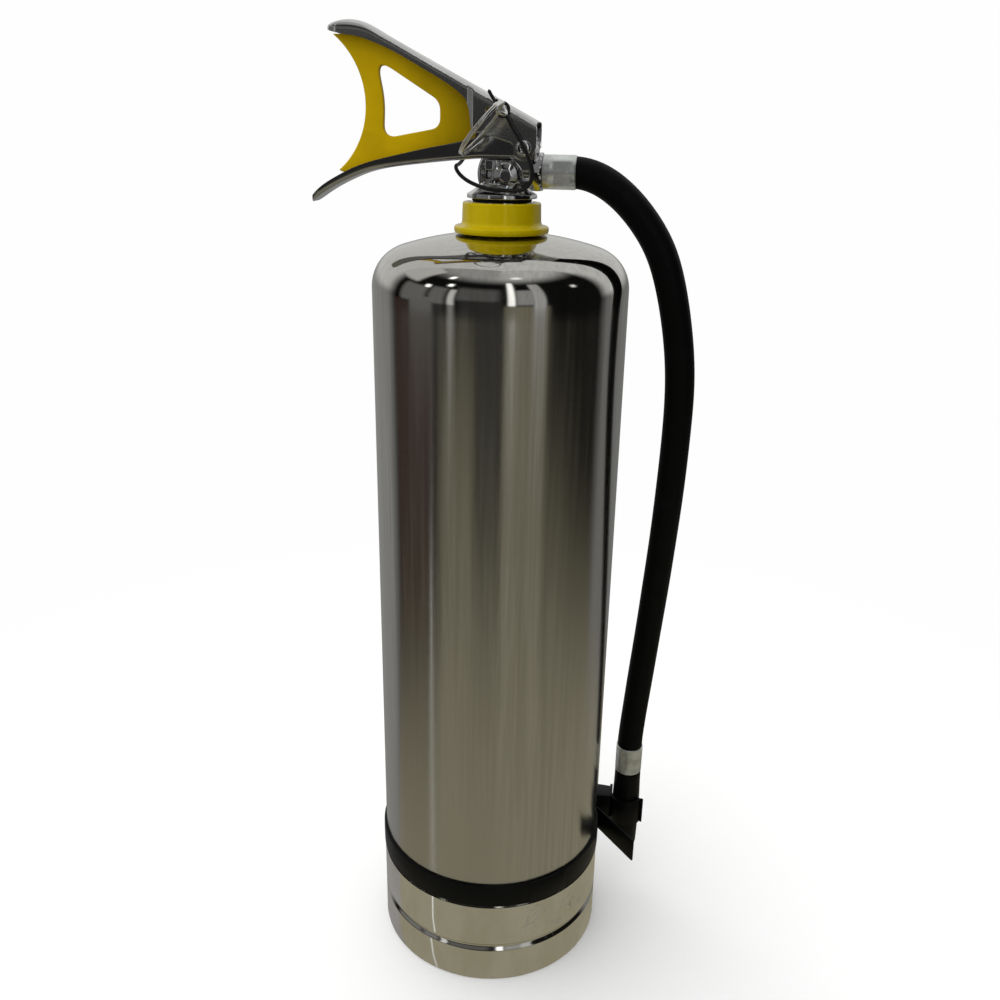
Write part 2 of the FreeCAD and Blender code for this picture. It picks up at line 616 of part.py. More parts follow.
def hose_ferrule_bottom():
    cx, cy = clip_centre()
    low, high = FERRULE_Z
    outer = cyl(FERRULE_R, (cx, cy, low), high - low)
    outer = outer.cut(cyl(TAIL_NECK_R + FIT, (cx, cy, low - 1), 5))
    return outer.cut(cyl(HOSE_R + FERRULE_GAP, (cx, cy, HOSE_LOW - 0.3), high))


def nozzle_barb():
    cx, cy = clip_centre()
    barb = cyl(BARB_R, (cx, cy, 105), 18)
    neck = cyl(TAIL_NECK_R, (cx, cy, 92), 15)
    return fuse([barb, neck]).cut(cyl(TAIL_BORE, (cx, cy, 90), 40))


def nozzle_body():
    cx, cy = clip_centre()
    outline = [(TAIL_BORE, 91.5), (TAIL_BORE, 60), (7.0, NOZZLE_LOW), (NOZZLE_R - 1.3, NOZZLE_LOW),
               (NOZZLE_R - 0.5, NOZZLE_LOW + 1), (NOZZLE_R, 80), (9.5, 104.8), (9.0, 105.9),
               (5.65, 105.9), (5.65, 91.5)]
    return spin(outline, (cx, cy, 0))


def nozzle_insert():
    """The small brass jet pressed into the nozzle's bore."""
    cx, cy = clip_centre()
    return tube(3.35, 1.6, (cx, cy, 70), 12)


def simple_rings():
    """Washers and seals that are one plain ring each."""
    return {
        "valve_neck_seal": ring_seal(16.3, 1.0, (0, 0, NECK_TOP + 1.0)),
        "stem_seat_seal": tube(7.2, STEM_R + 0.02, (0, 0, 503.0), 1.98),
        "stem_oring": ring_seal(STEM_R + 0.95, 0.9, (0, 0, 528.0)),
        "side_plug_washer": tube(6.6, 4.0 + FIT, (-8.25, 0, PORT_Z), 0.6, X_AXIS),
        "hose_outlet_seal": tube(7.3, 4.5, (20.02, 0, OUTLET_Z), 0.8, X_AXIS),
        "gauge_dial": tube(GAUGE_R - 1.3, 1.1, (GAUGE_X, GAUGE_BACK + 6.6, GAUGE_Z), 0.5, Y_AXIS),
        "gauge_lens": cyl(GAUGE_R - 0.1, (GAUGE_X, GAUGE_BACK + 9.6, GAUGE_Z), 1.0, Y_AXIS),
        "gauge_arbor": cyl(0.78, (GAUGE_X, GAUGE_BACK + 2.0, GAUGE_Z), 6.9, Y_AXIS),
    }


BUILDERS = [tank_shell, tank_bottom, tank_base_skirt, neck_ring, neck_collar, tank_strap, hose_clip,
            valve_body, valve_stem, stem_gland, stem_spring, spring_retainer, dip_tube, side_plug,
            gauge_case, gauge_bezel, gauge_needle, gauge_bourdon_tube, carry_handle, squeeze_lever,
            lever_pivot_rivet, lever_presser, lock_insert, safety_pin, pin_ring, seal_loop, seal_band,
            hose, hose_coupling_nut, hose_tail_top, hose_ferrule_top, hose_ferrule_bottom,
            nozzle_barb, nozzle_body, nozzle_insert]


def main():
    os.makedirs("parts", exist_ok=True)
    parts = {build.__name__: build() for build in BUILDERS}
    parts.update(simple_rings())
    for name in sorted(parts):
        shape = parts[name]
        print(name, len(shape.Solids), round(shape.Volume, 1), shape.isValid())
        shape.exportStep("parts/" + name + ".step")


main()
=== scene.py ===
from math import acos, atan2, copysign, cos, degrees, exp, pi, radians, sin, sqrt, tan

import bmesh
import bpy
import numpy as np
from mathutils import Matrix, Vector


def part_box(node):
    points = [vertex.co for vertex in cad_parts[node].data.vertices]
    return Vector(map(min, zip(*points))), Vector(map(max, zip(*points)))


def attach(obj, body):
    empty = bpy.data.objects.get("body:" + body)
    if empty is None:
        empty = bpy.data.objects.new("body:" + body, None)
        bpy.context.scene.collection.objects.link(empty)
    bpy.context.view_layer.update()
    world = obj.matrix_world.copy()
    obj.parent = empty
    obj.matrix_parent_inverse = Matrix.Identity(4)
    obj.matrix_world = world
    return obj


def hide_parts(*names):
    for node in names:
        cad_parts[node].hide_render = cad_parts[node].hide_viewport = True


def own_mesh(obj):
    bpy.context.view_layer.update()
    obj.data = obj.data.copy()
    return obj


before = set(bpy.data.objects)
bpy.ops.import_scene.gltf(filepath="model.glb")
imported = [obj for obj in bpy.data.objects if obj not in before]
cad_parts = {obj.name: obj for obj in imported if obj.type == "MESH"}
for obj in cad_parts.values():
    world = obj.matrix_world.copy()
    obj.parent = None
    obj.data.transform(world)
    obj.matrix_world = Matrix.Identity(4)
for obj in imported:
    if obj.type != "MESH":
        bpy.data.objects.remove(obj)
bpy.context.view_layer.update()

# Sizes are in millimetres and meshes are scaled to metres when they are made.
MM = 0.001
WELD = 2e-6             # points nearer than this are merged, in metres
SLIVER = 1e-6           # edges shorter than this are dissolved, in metres
SHARP = 35.0            # edges that turn more than this stay crisp, in degrees
FULL_TURN = 2 * pi
X_AXIS = Vector((1, 0, 0))
Y_AXIS = Vector((0, 1, 0))
Z_AXIS = Vector((0, 0, 1))


# ================================================================ places taken from the frame
def extent(part):
    """A CAD node's lowest and highest corners, in millimetres."""
    low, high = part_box(part)
    return low / MM, high / MM


def middle(part):
    """The centre of a CAD node's box, in millimetres."""
    low, high = extent(part)
    return (low + high) / 2


def half_x(part):
    """Half of a CAD node's size along X: its radius when it is round about an upright axis."""
    low, high = extent(part)
    return (high.x - low.x) / 2


# ================================================================ outlines and curves
def arc(centre, radius, start, end, count):
    """Points on an arc, angles in degrees."""
    angles = [radians(start + (end - start) * i / (count - 1)) for i in range(count)]
    return [(centre[0] + radius * cos(a), centre[1] + radius * sin(a)) for a in angles]


def rounded(corners, steps=6):
    """A closed outline whose corners (a, b, radius) are rounded with arcs."""
    outline = []
    for i, (a, b, radius) in enumerate(corners):
        here = Vector((a, b))
        back = Vector(corners[i - 1][:2]) - here
        ahead = Vector(corners[(i + 1) % len(corners)][:2]) - here
        if radius <= 0:
            outline.append((a, b))
            continue
        half = back.angle(ahead) / 2
        reach = min(radius / tan(half), 0.49 * back.length, 0.49 * ahead.length)
        start = here + back.normalized() * reach
        end = here + ahead.normalized() * reach
        for k in range(steps + 1):
            t = k / steps
            point = start * (1 - t) ** 2 + here * (2 * t * (1 - t)) + end * t ** 2
            outline.append((point.x, point.y))
    return outline


def spline(points, count):
    """Evenly spaced points on a smooth cubic through the given points."""
    p = np.array([tuple(q) for q in points], float)
    chord = np.sqrt(np.maximum(np.linalg.norm(np.diff(p, axis=0), axis=1), 1e-9))
    knots = np.concatenate([[0], np.cumsum(chord ** 2)])
    n = len(p)
    step = np.diff(knots)
    system = np.eye(n)
    rhs = np.zeros_like(p)
    for i in range(1, n - 1):
        system[i, i - 1:i + 2] = step[i - 1], 2 * (step[i - 1] + step[i]), step[i]
        rhs[i] = 6 * ((p[i + 1] - p[i]) / step[i] - (p[i] - p[i - 1]) / step[i - 1])
    bend = np.linalg.solve(system, rhs)

    def at(t):
        i = np.clip(np.searchsorted(knots, t, side="right") - 1, 0, n - 2)
        h = step[i][:, None]
        a = ((knots[i + 1] - t) / step[i])[:, None]
        b = 1 - a
        curve = (a ** 3 - a) * bend[i] + (b ** 3 - b) * bend[i + 1]
        return a * p[i] + b * p[i + 1] + curve * h * h / 6

    fine_t = np.linspace(knots[0], knots[-1], 40 * n)
    fine = at(fine_t)
    run = np.concatenate([[0], np.cumsum(np.linalg.norm(np.diff(fine, axis=0), axis=1))])
    wanted = np.linspace(0, run[-1], count)
    return [Vector(q) for q in at(np.interp(wanted, run, fine_t))]


def line_through(points):
    """A function x -> z that runs straight between (x, z) points."""
    xs = [p[0] for p in points]
    zs = [p[1] for p in points]
    return lambda x: float(np.interp(x, xs, zs))


def curve_through(points, count):
    """Points (x, z) on a smooth curve through (x, z) points."""
    return [(q.x, q.z) for q in spline([(x, 0, z) for x, z in points], count)]


def smooth_line(points, count=60):
    """A function x -> z on a smooth curve through (x, z) points."""
    return line_through(curve_through(points, count))


# ================================================================ meshes
def mesh_object(name, vertices, faces, material):
    mesh = bpy.data.meshes.new(name)
    mesh.from_pydata([Vector(v) * MM for v in vertices], [], faces)
    tidy_mesh(mesh)
    obj = bpy.data.objects.new(name, mesh)
    bpy.context.scene.collection.objects.link(obj)
    mesh.materials.append(material)
    return obj


def tidy_mesh(mesh):
    """Merges doubled points, points every face outwards and smooths the shading."""
    work = bmesh.new()
    work.from_mesh(mesh)
    bmesh.ops.remove_doubles(work, verts=work.verts, dist=WELD)
    bmesh.ops.dissolve_degenerate(work, edges=work.edges, dist=SLIVER)
    bmesh.ops.recalc_face_normals(work, faces=work.faces)
    work.to_mesh(mesh)
    work.free()
    mesh.shade_smooth()
    mesh.set_sharp_from_angle(angle=radians(SHARP))


def bake(obj):
    """Applies obj's modifiers to its mesh."""
    bpy.context.view_layer.update()
    graph = bpy.context.evaluated_depsgraph_get()
    old = obj.data
    obj.data = bpy.data.meshes.new_from_object(obj.evaluated_get(graph))
    obj.modifiers.clear()
    bpy.data.meshes.remove(old)
    tidy_mesh(obj.data)
    return obj


def soften(obj, width, segments=3, limit=SHARP):
    """Rounds the sharp edges."""
    bevel = obj.modifiers.new("edges", "BEVEL")
    bevel.width = width * MM
    bevel.segments = segments
    bevel.limit_method = "ANGLE"
    bevel.angle_limit = radians(limit)
    bevel.use_clamp_overlap = True
    return bake(obj)


def combine(obj, others, operation):
    """Unites or cuts obj with others, which are used up."""
    for other in others:
        step = obj.modifiers.new("combine", "BOOLEAN")
        step.operation = operation
        step.solver = "EXACT"
        step.object = other
        bake(obj)
        bpy.data.objects.remove(other)


def grid_faces(rows, columns, wrap_rows=False, wrap_columns=False):
    """Four-sided faces between rows of points; wrapping joins the last row or column to the first."""
    faces = []
    for i in range(rows if wrap_rows else rows - 1):
        for j in range(columns if wrap_columns else columns - 1):
            a, b = i * columns, ((i + 1) % rows) * columns
            k = (j + 1) % columns
            faces.append((a + j, a + k, b + k, b + j))
    return faces


def aim(axis):
    """A rotation that takes +Z to an axis of the frame and keeps the first angle readable."""
    if abs(axis.x) > 0.9:
        sign = copysign(1, axis.x)
        return Matrix(((0, 0, sign), (1, 0, 0), (0, sign, 0)))
    if abs(axis.y) > 0.9:
        sign = copysign(1, axis.y)
        return Matrix(((1, 0, 0), (0, 0, sign), (0, -sign, 0)))
    return Z_AXIS.rotation_difference(axis).to_matrix()


def lathe(name, outline, material, centre=(0, 0, 0), axis=Z_AXIS, segments=96, shape=None):
    """Turns a closed outline of (radius, height); shape(angle, radius, height) may change the radius."""
    turn = aim(axis)
    base = Vector(centre)
    vertices = []
    for radius, height in outline:
        for i in range(segments):
            angle = 2 * pi * i / segments
            r = shape(angle, radius, height) if shape else radius
            vertices.append(base + turn @ Vector((r * cos(angle), r * sin(angle), height)))
    faces = grid_faces(len(outline), segments, True, True)
    return mesh_object(name, vertices, faces, material)


def turned(name, corners, material, centre=(0, 0, 0), axis=Z_AXIS, segments=96, steps=6):
    """A lathe part whose outline has rounded corners (radius, height, rounding)."""
    return lathe(name, rounded(corners, steps), material, centre, axis, segments)


def drill(radius, low, high, material, centre=(0, 0, 0), axis=Z_AXIS):
    """A round cutter along an axis, from low to high."""
    return lathe("hole", [(0, low), (radius, low), (radius, high), (0, high)], material, centre, axis, 48)


def prism(name, outline, low, high, material, plane="XY"):
    """A closed outline made solid between low and high, square to its plane."""
    count = len(outline)
    vertices = []
    for level in (low, high):
        for a, b in outline:
            vertices.append((a, b, level) if plane == "XY" else (a, level, b))
    faces = [tuple(range(count)), tuple(range(2 * count - 1, count - 1, -1))]
    faces += [(i, (i + 1) % count, (i + 1) % count + count, i + count) for i in range(count)]
    return mesh_object(name, vertices, faces, material)


def sweep(name, path, radius, material, sides=24, closed=False, taper=None):
    """A round rod along a path, without twist; taper(share of length, angle) may scale the radius."""
    count = len(path)
    vertices = []
    across = None
    for i, here in enumerate(path):
        ahead = path[(i + 1) % count] if closed or i < count - 1 else here
        back = path[i - 1] if closed or i > 0 else here
        along = (ahead - back).normalized()
        if across is None:
            across = along.cross(Z_AXIS if abs(along.z) < 0.9 else X_AXIS)
        across = (across - along * across.dot(along)).normalized()
        second = along.cross(across)
        for k in range(sides):
            angle = 2 * pi * k / sides
            r = radius * (taper(i / (count - 1), angle) if taper else 1)
            vertices.append(here + across * (r * cos(angle)) + second * (r * sin(angle)))
    faces = grid_faces(count, sides, closed, True)
    if not closed:
        faces += [tuple(range(sides)), tuple(range(count * sides - 1, (count - 1) * sides - 1, -1))]
    return mesh_object(name, vertices, faces, material)


def round_tip(share_of_length):
    """A taper that closes both ends of a rod with small domes."""
    smallest = 0.04

    def scale(t, _angle):
        edge = min(t, 1 - t)
        return sqrt(max(1 - max(1 - edge / share_of_length, 0) ** 2, smallest))
    return scale


def channel(name, stations, half_width, web, hem, thickness, bend, material, crown=None, lean=None):
    """A stamped U-section sheet: web(x) and hem(x) are heights, half_width(x) its outer half width.

    The sides lean outwards by lean(x) for each unit of their height.
    """
    side_rows, bend_rows, web_rows = 9, 5, 9
    vertices = []
    for x in stations:
        w, top, low = half_width(x), web(x), hem(x)
        slope = lean(x) if lean else 0.0
        down = 1 if top > low else -1
        r = min(bend, 0.6 * abs(top - low))
        side = [low + (top - down * r - low) * i / side_rows for i in range(side_rows)]
        section = [(-w - slope * abs(top - down * r - z), z) for z in side]
        for i in range(bend_rows + 1):
            a = pi / 2 * i / bend_rows
            section.append((-w + r - r * cos(a), top - down * (r - r * sin(a))))
        flat = w - r
        section += [(-flat + 2 * flat * i / web_rows, top) for i in range(1, web_rows)]
        mirrored = [(-y, z) for y, z in section[:side_rows + bend_rows + 1][::-1]]
        section += mirrored
        rise = crown(x) if crown else 0.0
        vertices += [(x, y, z + rise * max(1 - (y / w) ** 2, 0)) for y, z in section]
    columns = len(section)
    obj = mesh_object(name, vertices, grid_faces(len(stations), columns), material)
    face_outward(obj, web, hem)
    sheet = obj.modifiers.new("sheet", "SOLIDIFY")
    sheet.thickness = thickness * MM
    sheet.offset = -1
    sheet.use_even_offset = True
    sheet.thickness_clamp = 1.5
    return bake(obj)


def face_outward(obj, web, hem):
    """Turns the open sheet's faces so that its outer side is the outside of the U."""
    polygons = obj.data.polygons
    middle_face = min(polygons, key=lambda f: abs(f.center.y) + abs(f.center.x))
    x = middle_face.center.x / MM
    outward = 1 if web(x) > hem(x) else -1
    if middle_face.normal.z * outward < 0:
        obj.data.flip_normals()


def join(name, objects):
    """One object from several closed meshes."""
    bpy.context.view_layer.update()
    work = bmesh.new()
    for obj in objects:
        work.from_mesh(obj.data)
    mesh = bpy.data.meshes.new(name)
    work.to_mesh(mesh)
    work.free()
    for material in objects[0].data.materials:
        mesh.materials.append(material)
    for obj in objects:
        bpy.data.objects.remove(obj)
    mesh.shade_smooth()
    mesh.set_sharp_from_angle(angle=radians(SHARP))
    joined = bpy.data.objects.new(name, mesh)
    bpy.context.scene.collection.objects.link(joined)
    return joined


def cast(obj, voxel, passes):
    """Melts overlapping solids into one casting with soft inner corners."""
    remesh = obj.modifiers.new("melt", "REMESH")
    remesh.mode = "VOXEL"
    remesh.voxel_size = voxel * MM
    remesh.use_smooth_shade = True
    smooth = obj.modifiers.new("soft", "SMOOTH")
    smooth.factor = 0.5
    smooth.iterations = passes
    bake(obj)
    obj.data.set_sharp_from_angle(angle=radians(70))
    return obj


def place(obj, body, part):
    """The piece rides on a body and stands for a CAD node, which is hidden."""
    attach(obj, body)
    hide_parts(part)
    return obj


# ================================================================ shader building
class Building:
    """The node tree that is being built."""
    tree = None


def start_tree(owner):
    """Empties the node tree of a material or world and builds there from now on."""
    owner.use_nodes = True
    Building.tree = owner.node_tree
    Building.tree.nodes.clear()


def node(kind, inputs=None, **settings):
    """Adds a shader node; inputs are values or sockets, keyed by name or number."""
    made = Building.tree.nodes.new("ShaderNode" + kind)
    for key, value in settings.items():
        setattr(made, key, value)
    for key, value in (inputs or {}).items():
        connect(value, made.inputs[key])
    return made


def connect(value, entry):
    """Links a socket to an input, or sets the input to a number or to red, green and blue."""
    if isinstance(value, bpy.types.NodeSocket):
        Building.tree.links.new(value, entry)
    else:
        entry.default_value = (*value, 1.0) if entry.type == "RGBA" else value


def maths(operation, *values):
    return node("Math", dict(enumerate(values)), operation=operation).outputs[0]


def times(one, two):
    return maths("MULTIPLY", one, two)


def plus(one, two):
    return maths("ADD", one, two)


def vector_maths(operation, output=0, **values):
    """Vector maths on the inputs given by name: one, two and scale."""
    keys = {"one": 0, "two": 1, "scale": "Scale"}
    inputs = {keys[name]: value for name, value in values.items()}
    return node("VectorMath", inputs, operation=operation).outputs[output]


def ramp(value, start, end, low=0.0, high=1.0):
    """A smooth step of value: low before start, high after end."""
    inputs = {"Value": value, "From Min": start, "From Max": end, "To Min": low, "To Max": high}
    return node("MapRange", inputs, interpolation_type="SMOOTHSTEP").outputs[0]


def mix(share, one, two):
    """Colours blended by share."""
    made = node("Mix", {0: share, 6: one, 7: two}, data_type="RGBA")
    return made.outputs[2]


def grain(scale, detail=4.0, stretch=(1, 1, 1), offset=(0, 0, 0)):
    """Noise in the object's own frame; scale is in features per metre."""
    where = node("TexCoord").outputs["Object"]
    mapped = node("Mapping", {"Vector": where, "Scale": stretch, "Location": offset})
    inputs = {"Vector": mapped.outputs[0], "Scale": scale, "Detail": detail, "Roughness": GRAIN_ROUGHNESS}
    return node("TexNoise", inputs).outputs[0]


def position():
    """The object's own x, y and z, in metres."""
    where = node("TexCoord").outputs["Object"]
    return node("SeparateXYZ", {0: where}).outputs[:3]


def edge_mask(radius):
    """1 on worn edges, 0 on flats."""
    rounded_normal = node("Bevel", {"Radius": radius * MM}, samples=3).outputs[0]
    straight = node("NewGeometry").outputs["Normal"]
    closeness = node("VectorMath", {0: rounded_normal, 1: straight}, operation="DOT_PRODUCT")
    return ramp(closeness.outputs["Value"], 0.985, 0.90)


def material_tree(name):
    """A new material, and its shader."""
    made = bpy.data.materials.new(name)
    start_tree(made)
    output = node("OutputMaterial")
    shader = node("BsdfPrincipled")
    connect(shader.outputs[0], output.inputs[0])
    return made, shader


def feed(shader, **sockets):
    """Sets or links the shader's inputs; an underscore in a key stands for a space."""
    for key, value in sockets.items():
        connect(value, shader.inputs[key.replace("_", " ")])


def bump(height, depth):
    """Bump from a 0 to 1 height, depth in millimetres."""
    return node("Bump", {"Strength": 1.0, "Distance": depth * MM, "Height": height}).outputs[0]


# ================================================================ materials
GRAIN_ROUGHNESS = 0.55
WHITE = (1.0, 1.0, 1.0)


def shade(tint, share):
    """A tint made darker or brighter."""
    return tuple(c * share for c in tint)


def brushed_steel(shoulder):
    """The cylinder: streaked brushed wall below the shoulder, mirror-polished dome above."""
    made, shader = material_tree("stainless_brushed")
    wall = ramp(position()[2], (shoulder + 4) * MM, (shoulder - 10) * MM)
    streaks = grain(320, 3, (1, 1, 0.03))
    cloudy = grain(14, 3, (1, 1, 0.35), offset=(3, 1, 2))
    fine = grain(2600, 2, (1, 1, 0.02))
    light = mix(ramp(streaks, 0.3, 0.7), (0.56, 0.55, 0.53), (0.68, 0.67, 0.65))
    tone = mix(ramp(cloudy, 0.35, 0.7), light, (0.60, 0.585, 0.555))
    rough_wall = plus(0.12, times(streaks, 0.10))
    rough_dome = plus(0.035, times(grain(60, 5), 0.05))
    rough = node("Mix", {0: wall, 2: rough_dome, 3: rough_wall}, data_type="FLOAT").outputs[0]
    height = plus(times(fine, wall), times(cloudy, 6.0))
    tangent = node("Tangent", direction_type="RADIAL", axis="Z").outputs[0]
    feed(shader, Base_Color=tone, Metallic=1.0, Roughness=rough, Tangent=tangent,
         Anisotropic=times(wall, 0.9), Anisotropic_Rotation=0.25, Normal=bump(height, 0.006))
    return made


def polished_skirt():
    """The foot ring: bright polished sheet with stains, scratches and specks."""
    made, shader = material_tree("stainless_polished")
    right = ramp(position()[0], 0.005, 0.03)
    smear = grain(45, 5, (1, 1, 0.4))
    fleck = ramp(grain(420, 2), 0.735, 0.76)
    patch = ramp(grain(26, 2, offset=(2.2, 0.6, 0.35)), 0.52, 0.66)
    where = node("TexCoord").outputs["Object"]
    warp = node("TexNoise", {"Vector": where, "Scale": 120.0}).outputs["Color"]
    bent = vector_maths("ADD", one=where, two=vector_maths("SCALE", one=warp, scale=0.02))
    lines = node("TexVoronoi", {"Vector": bent, "Scale": 90.0}, feature="DISTANCE_TO_EDGE").outputs[0]
    scribble = times(ramp(lines, 0.035, 0.012), patch)
    marks = maths("MAXIMUM", times(scribble, right), fleck)
    tone = mix(ramp(smear, 0.35, 0.7), (0.90, 0.885, 0.85), (0.80, 0.775, 0.72))
    marked = mix(times(marks, 0.75), tone, (0.10, 0.075, 0.06))
    rough = plus(times(smear, 0.14), times(marks, 0.3))
    metal = maths("SUBTRACT", 1.0, times(marks, 0.6))
    feed(shader, Base_Color=marked, Metallic=metal, Roughness=rough, Normal=bump(smear, 0.02))
    return made


def chrome(name, tint, rough_low, rough_high, smudge_scale=70.0):
    """Bright plating with finger smudges, fine scuffs and edges rubbed brighter."""
    made, shader = material_tree(name)
    smudge = grain(smudge_scale, 5)
    scuff = grain(900, 3, (1, 1, 0.15), offset=(5, 2, 1))
    worn = edge_mask(0.6)
    dull = mix(ramp(smudge, 0.4, 0.75), tint, shade(tint, 0.86))
    tone = mix(times(worn, 0.5), dull, (0.86, 0.86, 0.86))
    rough = plus(ramp(smudge, 0.35, 0.8, rough_low, rough_high), times(scuff, 0.05))
    feed(shader, Base_Color=tone, Metallic=1.0, Roughness=rough, Normal=bump(scuff, 0.008))
    return made


def dull_metal(name, tint, dark, rough):
    """Zinc, brass and spring steel: mottled, stained in patches, bright on the edges."""
    made, shader = material_tree(name)
    mottle = grain(160, 6, offset=(1, 4, 2))
    stain = ramp(grain(70, 4, offset=(7, 3, 5)), 0.5, 0.75)
    worn = edge_mask(0.4)
    tone = mix(ramp(mottle, 0.35, 0.7), tint, shade(tint, 0.78))
    tone = mix(times(stain, 0.6), tone, dark)
    tone = mix(times(worn, 0.4), tone, (0.8, 0.8, 0.78))
    roughness = plus(rough, times(mottle, 0.22))
    feed(shader, Base_Color=tone, Metallic=0.85, Roughness=roughness, Normal=bump(mottle, 0.05))
    return made


def moulded_plastic(name, tint, scuffed, rough, sheen=0.5, glint=WHITE, painted_shade_span=None):
    """Injection-moulded plastic: fine orange peel, rubbed edges and light soiling.

    glint tints its shine; the last argument gives the x, in millimetres, over which painted shade darkens
    the colour, strongest beyond the second x.
    """
    made, shader = material_tree(name)
    peel = grain(700, 3)
    soil = grain(38, 5, offset=(4, 9, 2))
    worn = edge_mask(0.5)
    tone = mix(ramp(soil, 0.42, 0.72), tint, shade(tint, 0.86))
    tone = mix(times(worn, 0.35), tone, scuffed)
    # Painted shade: the colour darkens towards larger x, standing in for the shadow of the lever and handle.
    if painted_shade_span:
        start, end = painted_shade_span
        painted_shade = ramp(position()[0], start * MM, end * MM)
        tone = mix(times(painted_shade, 0.72), tone, shade(tint, 0.35))
    feed(shader, Base_Color=tone, Roughness=plus(rough, times(soil, 0.16)),
         Normal=bump(peel, 0.012), Specular_IOR_Level=sheen, Specular_Tint=glint)
    return made


def rubber(name, tint, rough, ribs):
    """Hose and seals: matt rubber with faint lengthwise wrapping marks and grey dust."""
    made, shader = material_tree(name)
    wrap = grain(260, 4, ribs)
    pores = grain(1500, 3)
    dust = ramp(grain(55, 5, offset=(2, 2, 6)), 0.5, 0.8)
    dusty = tuple(c * 2.6 + 0.0012 for c in tint)
    height = plus(wrap, times(pores, 0.4))
    feed(shader, Base_Color=mix(times(dust, 0.5), tint, dusty),
         Roughness=plus(rough, times(wrap, 0.25)), Normal=bump(height, 0.05),
         Specular_IOR_Level=0.14)
    return made


def clear_lens():
    """The gauge's clear window, faintly smeared."""
    made, shader = material_tree("clear_lens")
    smear = grain(90, 4)
    feed(shader, Base_Color=(0.95, 0.97, 0.97), Roughness=ramp(smear, 0.3, 0.8, 0.02, 0.12),
         Normal=bump(smear, 0.01), Transmission_Weight=1.0, IOR=1.49)
    return made


def gauge_face(centre, radius):
    """A plain white dial: a coloured arc in three zones and short ticks, no lettering."""
    made, shader = material_tree("gauge_face")
    places = position()
    across = maths("SUBTRACT", places[0], centre.x * MM)
    up = maths("SUBTRACT", places[2], centre.z * MM)
    flat = node("CombineXYZ", {0: across, 1: up}).outputs[0]
    distance = maths("DIVIDE", vector_maths("LENGTH", "Value", one=flat), radius * MM)
    turn = maths("ARCTAN2", times(across, -1.0), up)
    angle = times(turn, 180 / pi)
    aside = maths("ABSOLUTE", angle)
    span = ramp(aside, 76, 75)
    ring = times(ramp(distance, 0.66, 0.67), ramp(distance, 0.86, 0.85))
    zone = mix(ramp(aside, 30.5, 30), (0.55, 0.02, 0.015), (0.02, 0.28, 0.05))
    steps = maths("FRACT", plus(maths("DIVIDE", angle, 15.0), 10.5))
    phase = maths("ABSOLUTE", maths("SUBTRACT", steps, 0.5))
    tick_ring = times(ramp(distance, 0.52, 0.53), ramp(distance, 0.65, 0.64))
    tick = times(times(ramp(phase, 0.055, 0.045), tick_ring), span)
    paper = mix(grain(240, 4), (0.84, 0.84, 0.80), (0.76, 0.76, 0.71))
    printed = mix(times(ring, span), paper, zone)
    printed = mix(tick, printed, (0.02, 0.02, 0.02))
    feed(shader, Base_Color=printed, Roughness=ramp(grain(300, 2), 0.2, 0.8, 0.35, 0.5),
         Normal=bump(grain(900, 2), 0.01))
    return made


# ================================================================ studio
NEUTRAL = (1.0, 1.0, 0.97)
WARM = (1.07, 1.0, 0.72)
RED = (1.5, 0.95, 0.78)
# The soft boxes, in degrees, with azimuth from the -Y side towards +X. Each name's values are azimuth,
# half width, softness, elevation, half height, softness, strength and tint.
STUDIO = {
    "left_low_card": (-29, 13, 10, -22, 7, 7, 0.17, WARM),
    "left_slit": (-35, 1.5, 2.5, -6, 6, 5, 0.20, NEUTRAL),
    "left_streak": (-35, 2.0, 3.0, 11, 16, 5, 0.62, NEUTRAL),
    "left_fill": (-49, 6, 6, 12, 16, 6, 0.16, NEUTRAL),
    "left_tube": (-56, 0.6, 0.8, -42, 16, 6, 0.75, NEUTRAL),
    "left_slit_two": (-65, 11, 5, -3, 7, 3, 0.15, NEUTRAL),
    "left_brown": (-76, 21, 8, -22, 14, 6, 0.034, RED),
    "left_card": (-74, 12, 6, 10, 14, 5, 0.16, NEUTRAL),
    "front_haze": (-8, 17, 8, -10, 14, 6, 0.030, NEUTRAL),
    "right_low_card": (32, 18, 5, -17, 11, 6, 0.17, WARM),
    "right_low_tail": (56, 14, 26, -26, 5, 6, 0.12, WARM),
    "lamp_streak": (18, 1.2, 2.0, -12, 12, 10, 0.14, NEUTRAL),
    "lamp_strip": (18.2, 2.2, 2.5, 25, 27, 5, 1.50, NEUTRAL),
    "second_strip": (43, 4.5, 3, 19, 27, 6, 0.42, NEUTRAL),
    "left_lamp_low": (-63, 0.8, 4.0, 28, 0.8, 4.5, 3.4, NEUTRAL),
    "left_lamp_mid": (-42, 0.8, 4.0, 38, 0.8, 4.5, 3.4, NEUTRAL),
    "left_lamp_high": (-54, 1.2, 5.0, 55, 0.8, 5.0, 3.4, NEUTRAL),
    "left_panel": (-96, 16, 6, 46, 14, 5, 0.55, NEUTRAL),
    "front_card": (-12, 17, 8, 20, 12, 10, 0.10, NEUTRAL),
    "right_fill": (31, 7, 6, 16, 16, 6, 0.28, NEUTRAL),
    "front_lamp": (33, 5, 15, 66, 1, 6, 1.50, NEUTRAL),
    "right_slit": (83, 0.8, 4.0, 32, 0.8, 4.0, 1.4, NEUTRAL),
}
# Strengths that shiny surfaces see.
DARK = 0.006
CEILING_LEFT = 0.34
CEILING_RIGHT = 0.52
BACK_LEFT = 0.27
BACK_RIGHT = 0.19
BACK_HIGH = 0.62
GROUND = 0.26
# Where each of them starts and is full, in degrees.
CEILING_EDGE = (46, 68)
BACK_FROM_LEFT = (-92, -112)
BACK_FROM_RIGHT = (103, 120)
BACK_STEP = (-4, 8)
FLOOR_EDGE = (-18, -35)
FLOOR_DELAY = 5.0       # how much lower the pale floor starts on the left, in degrees
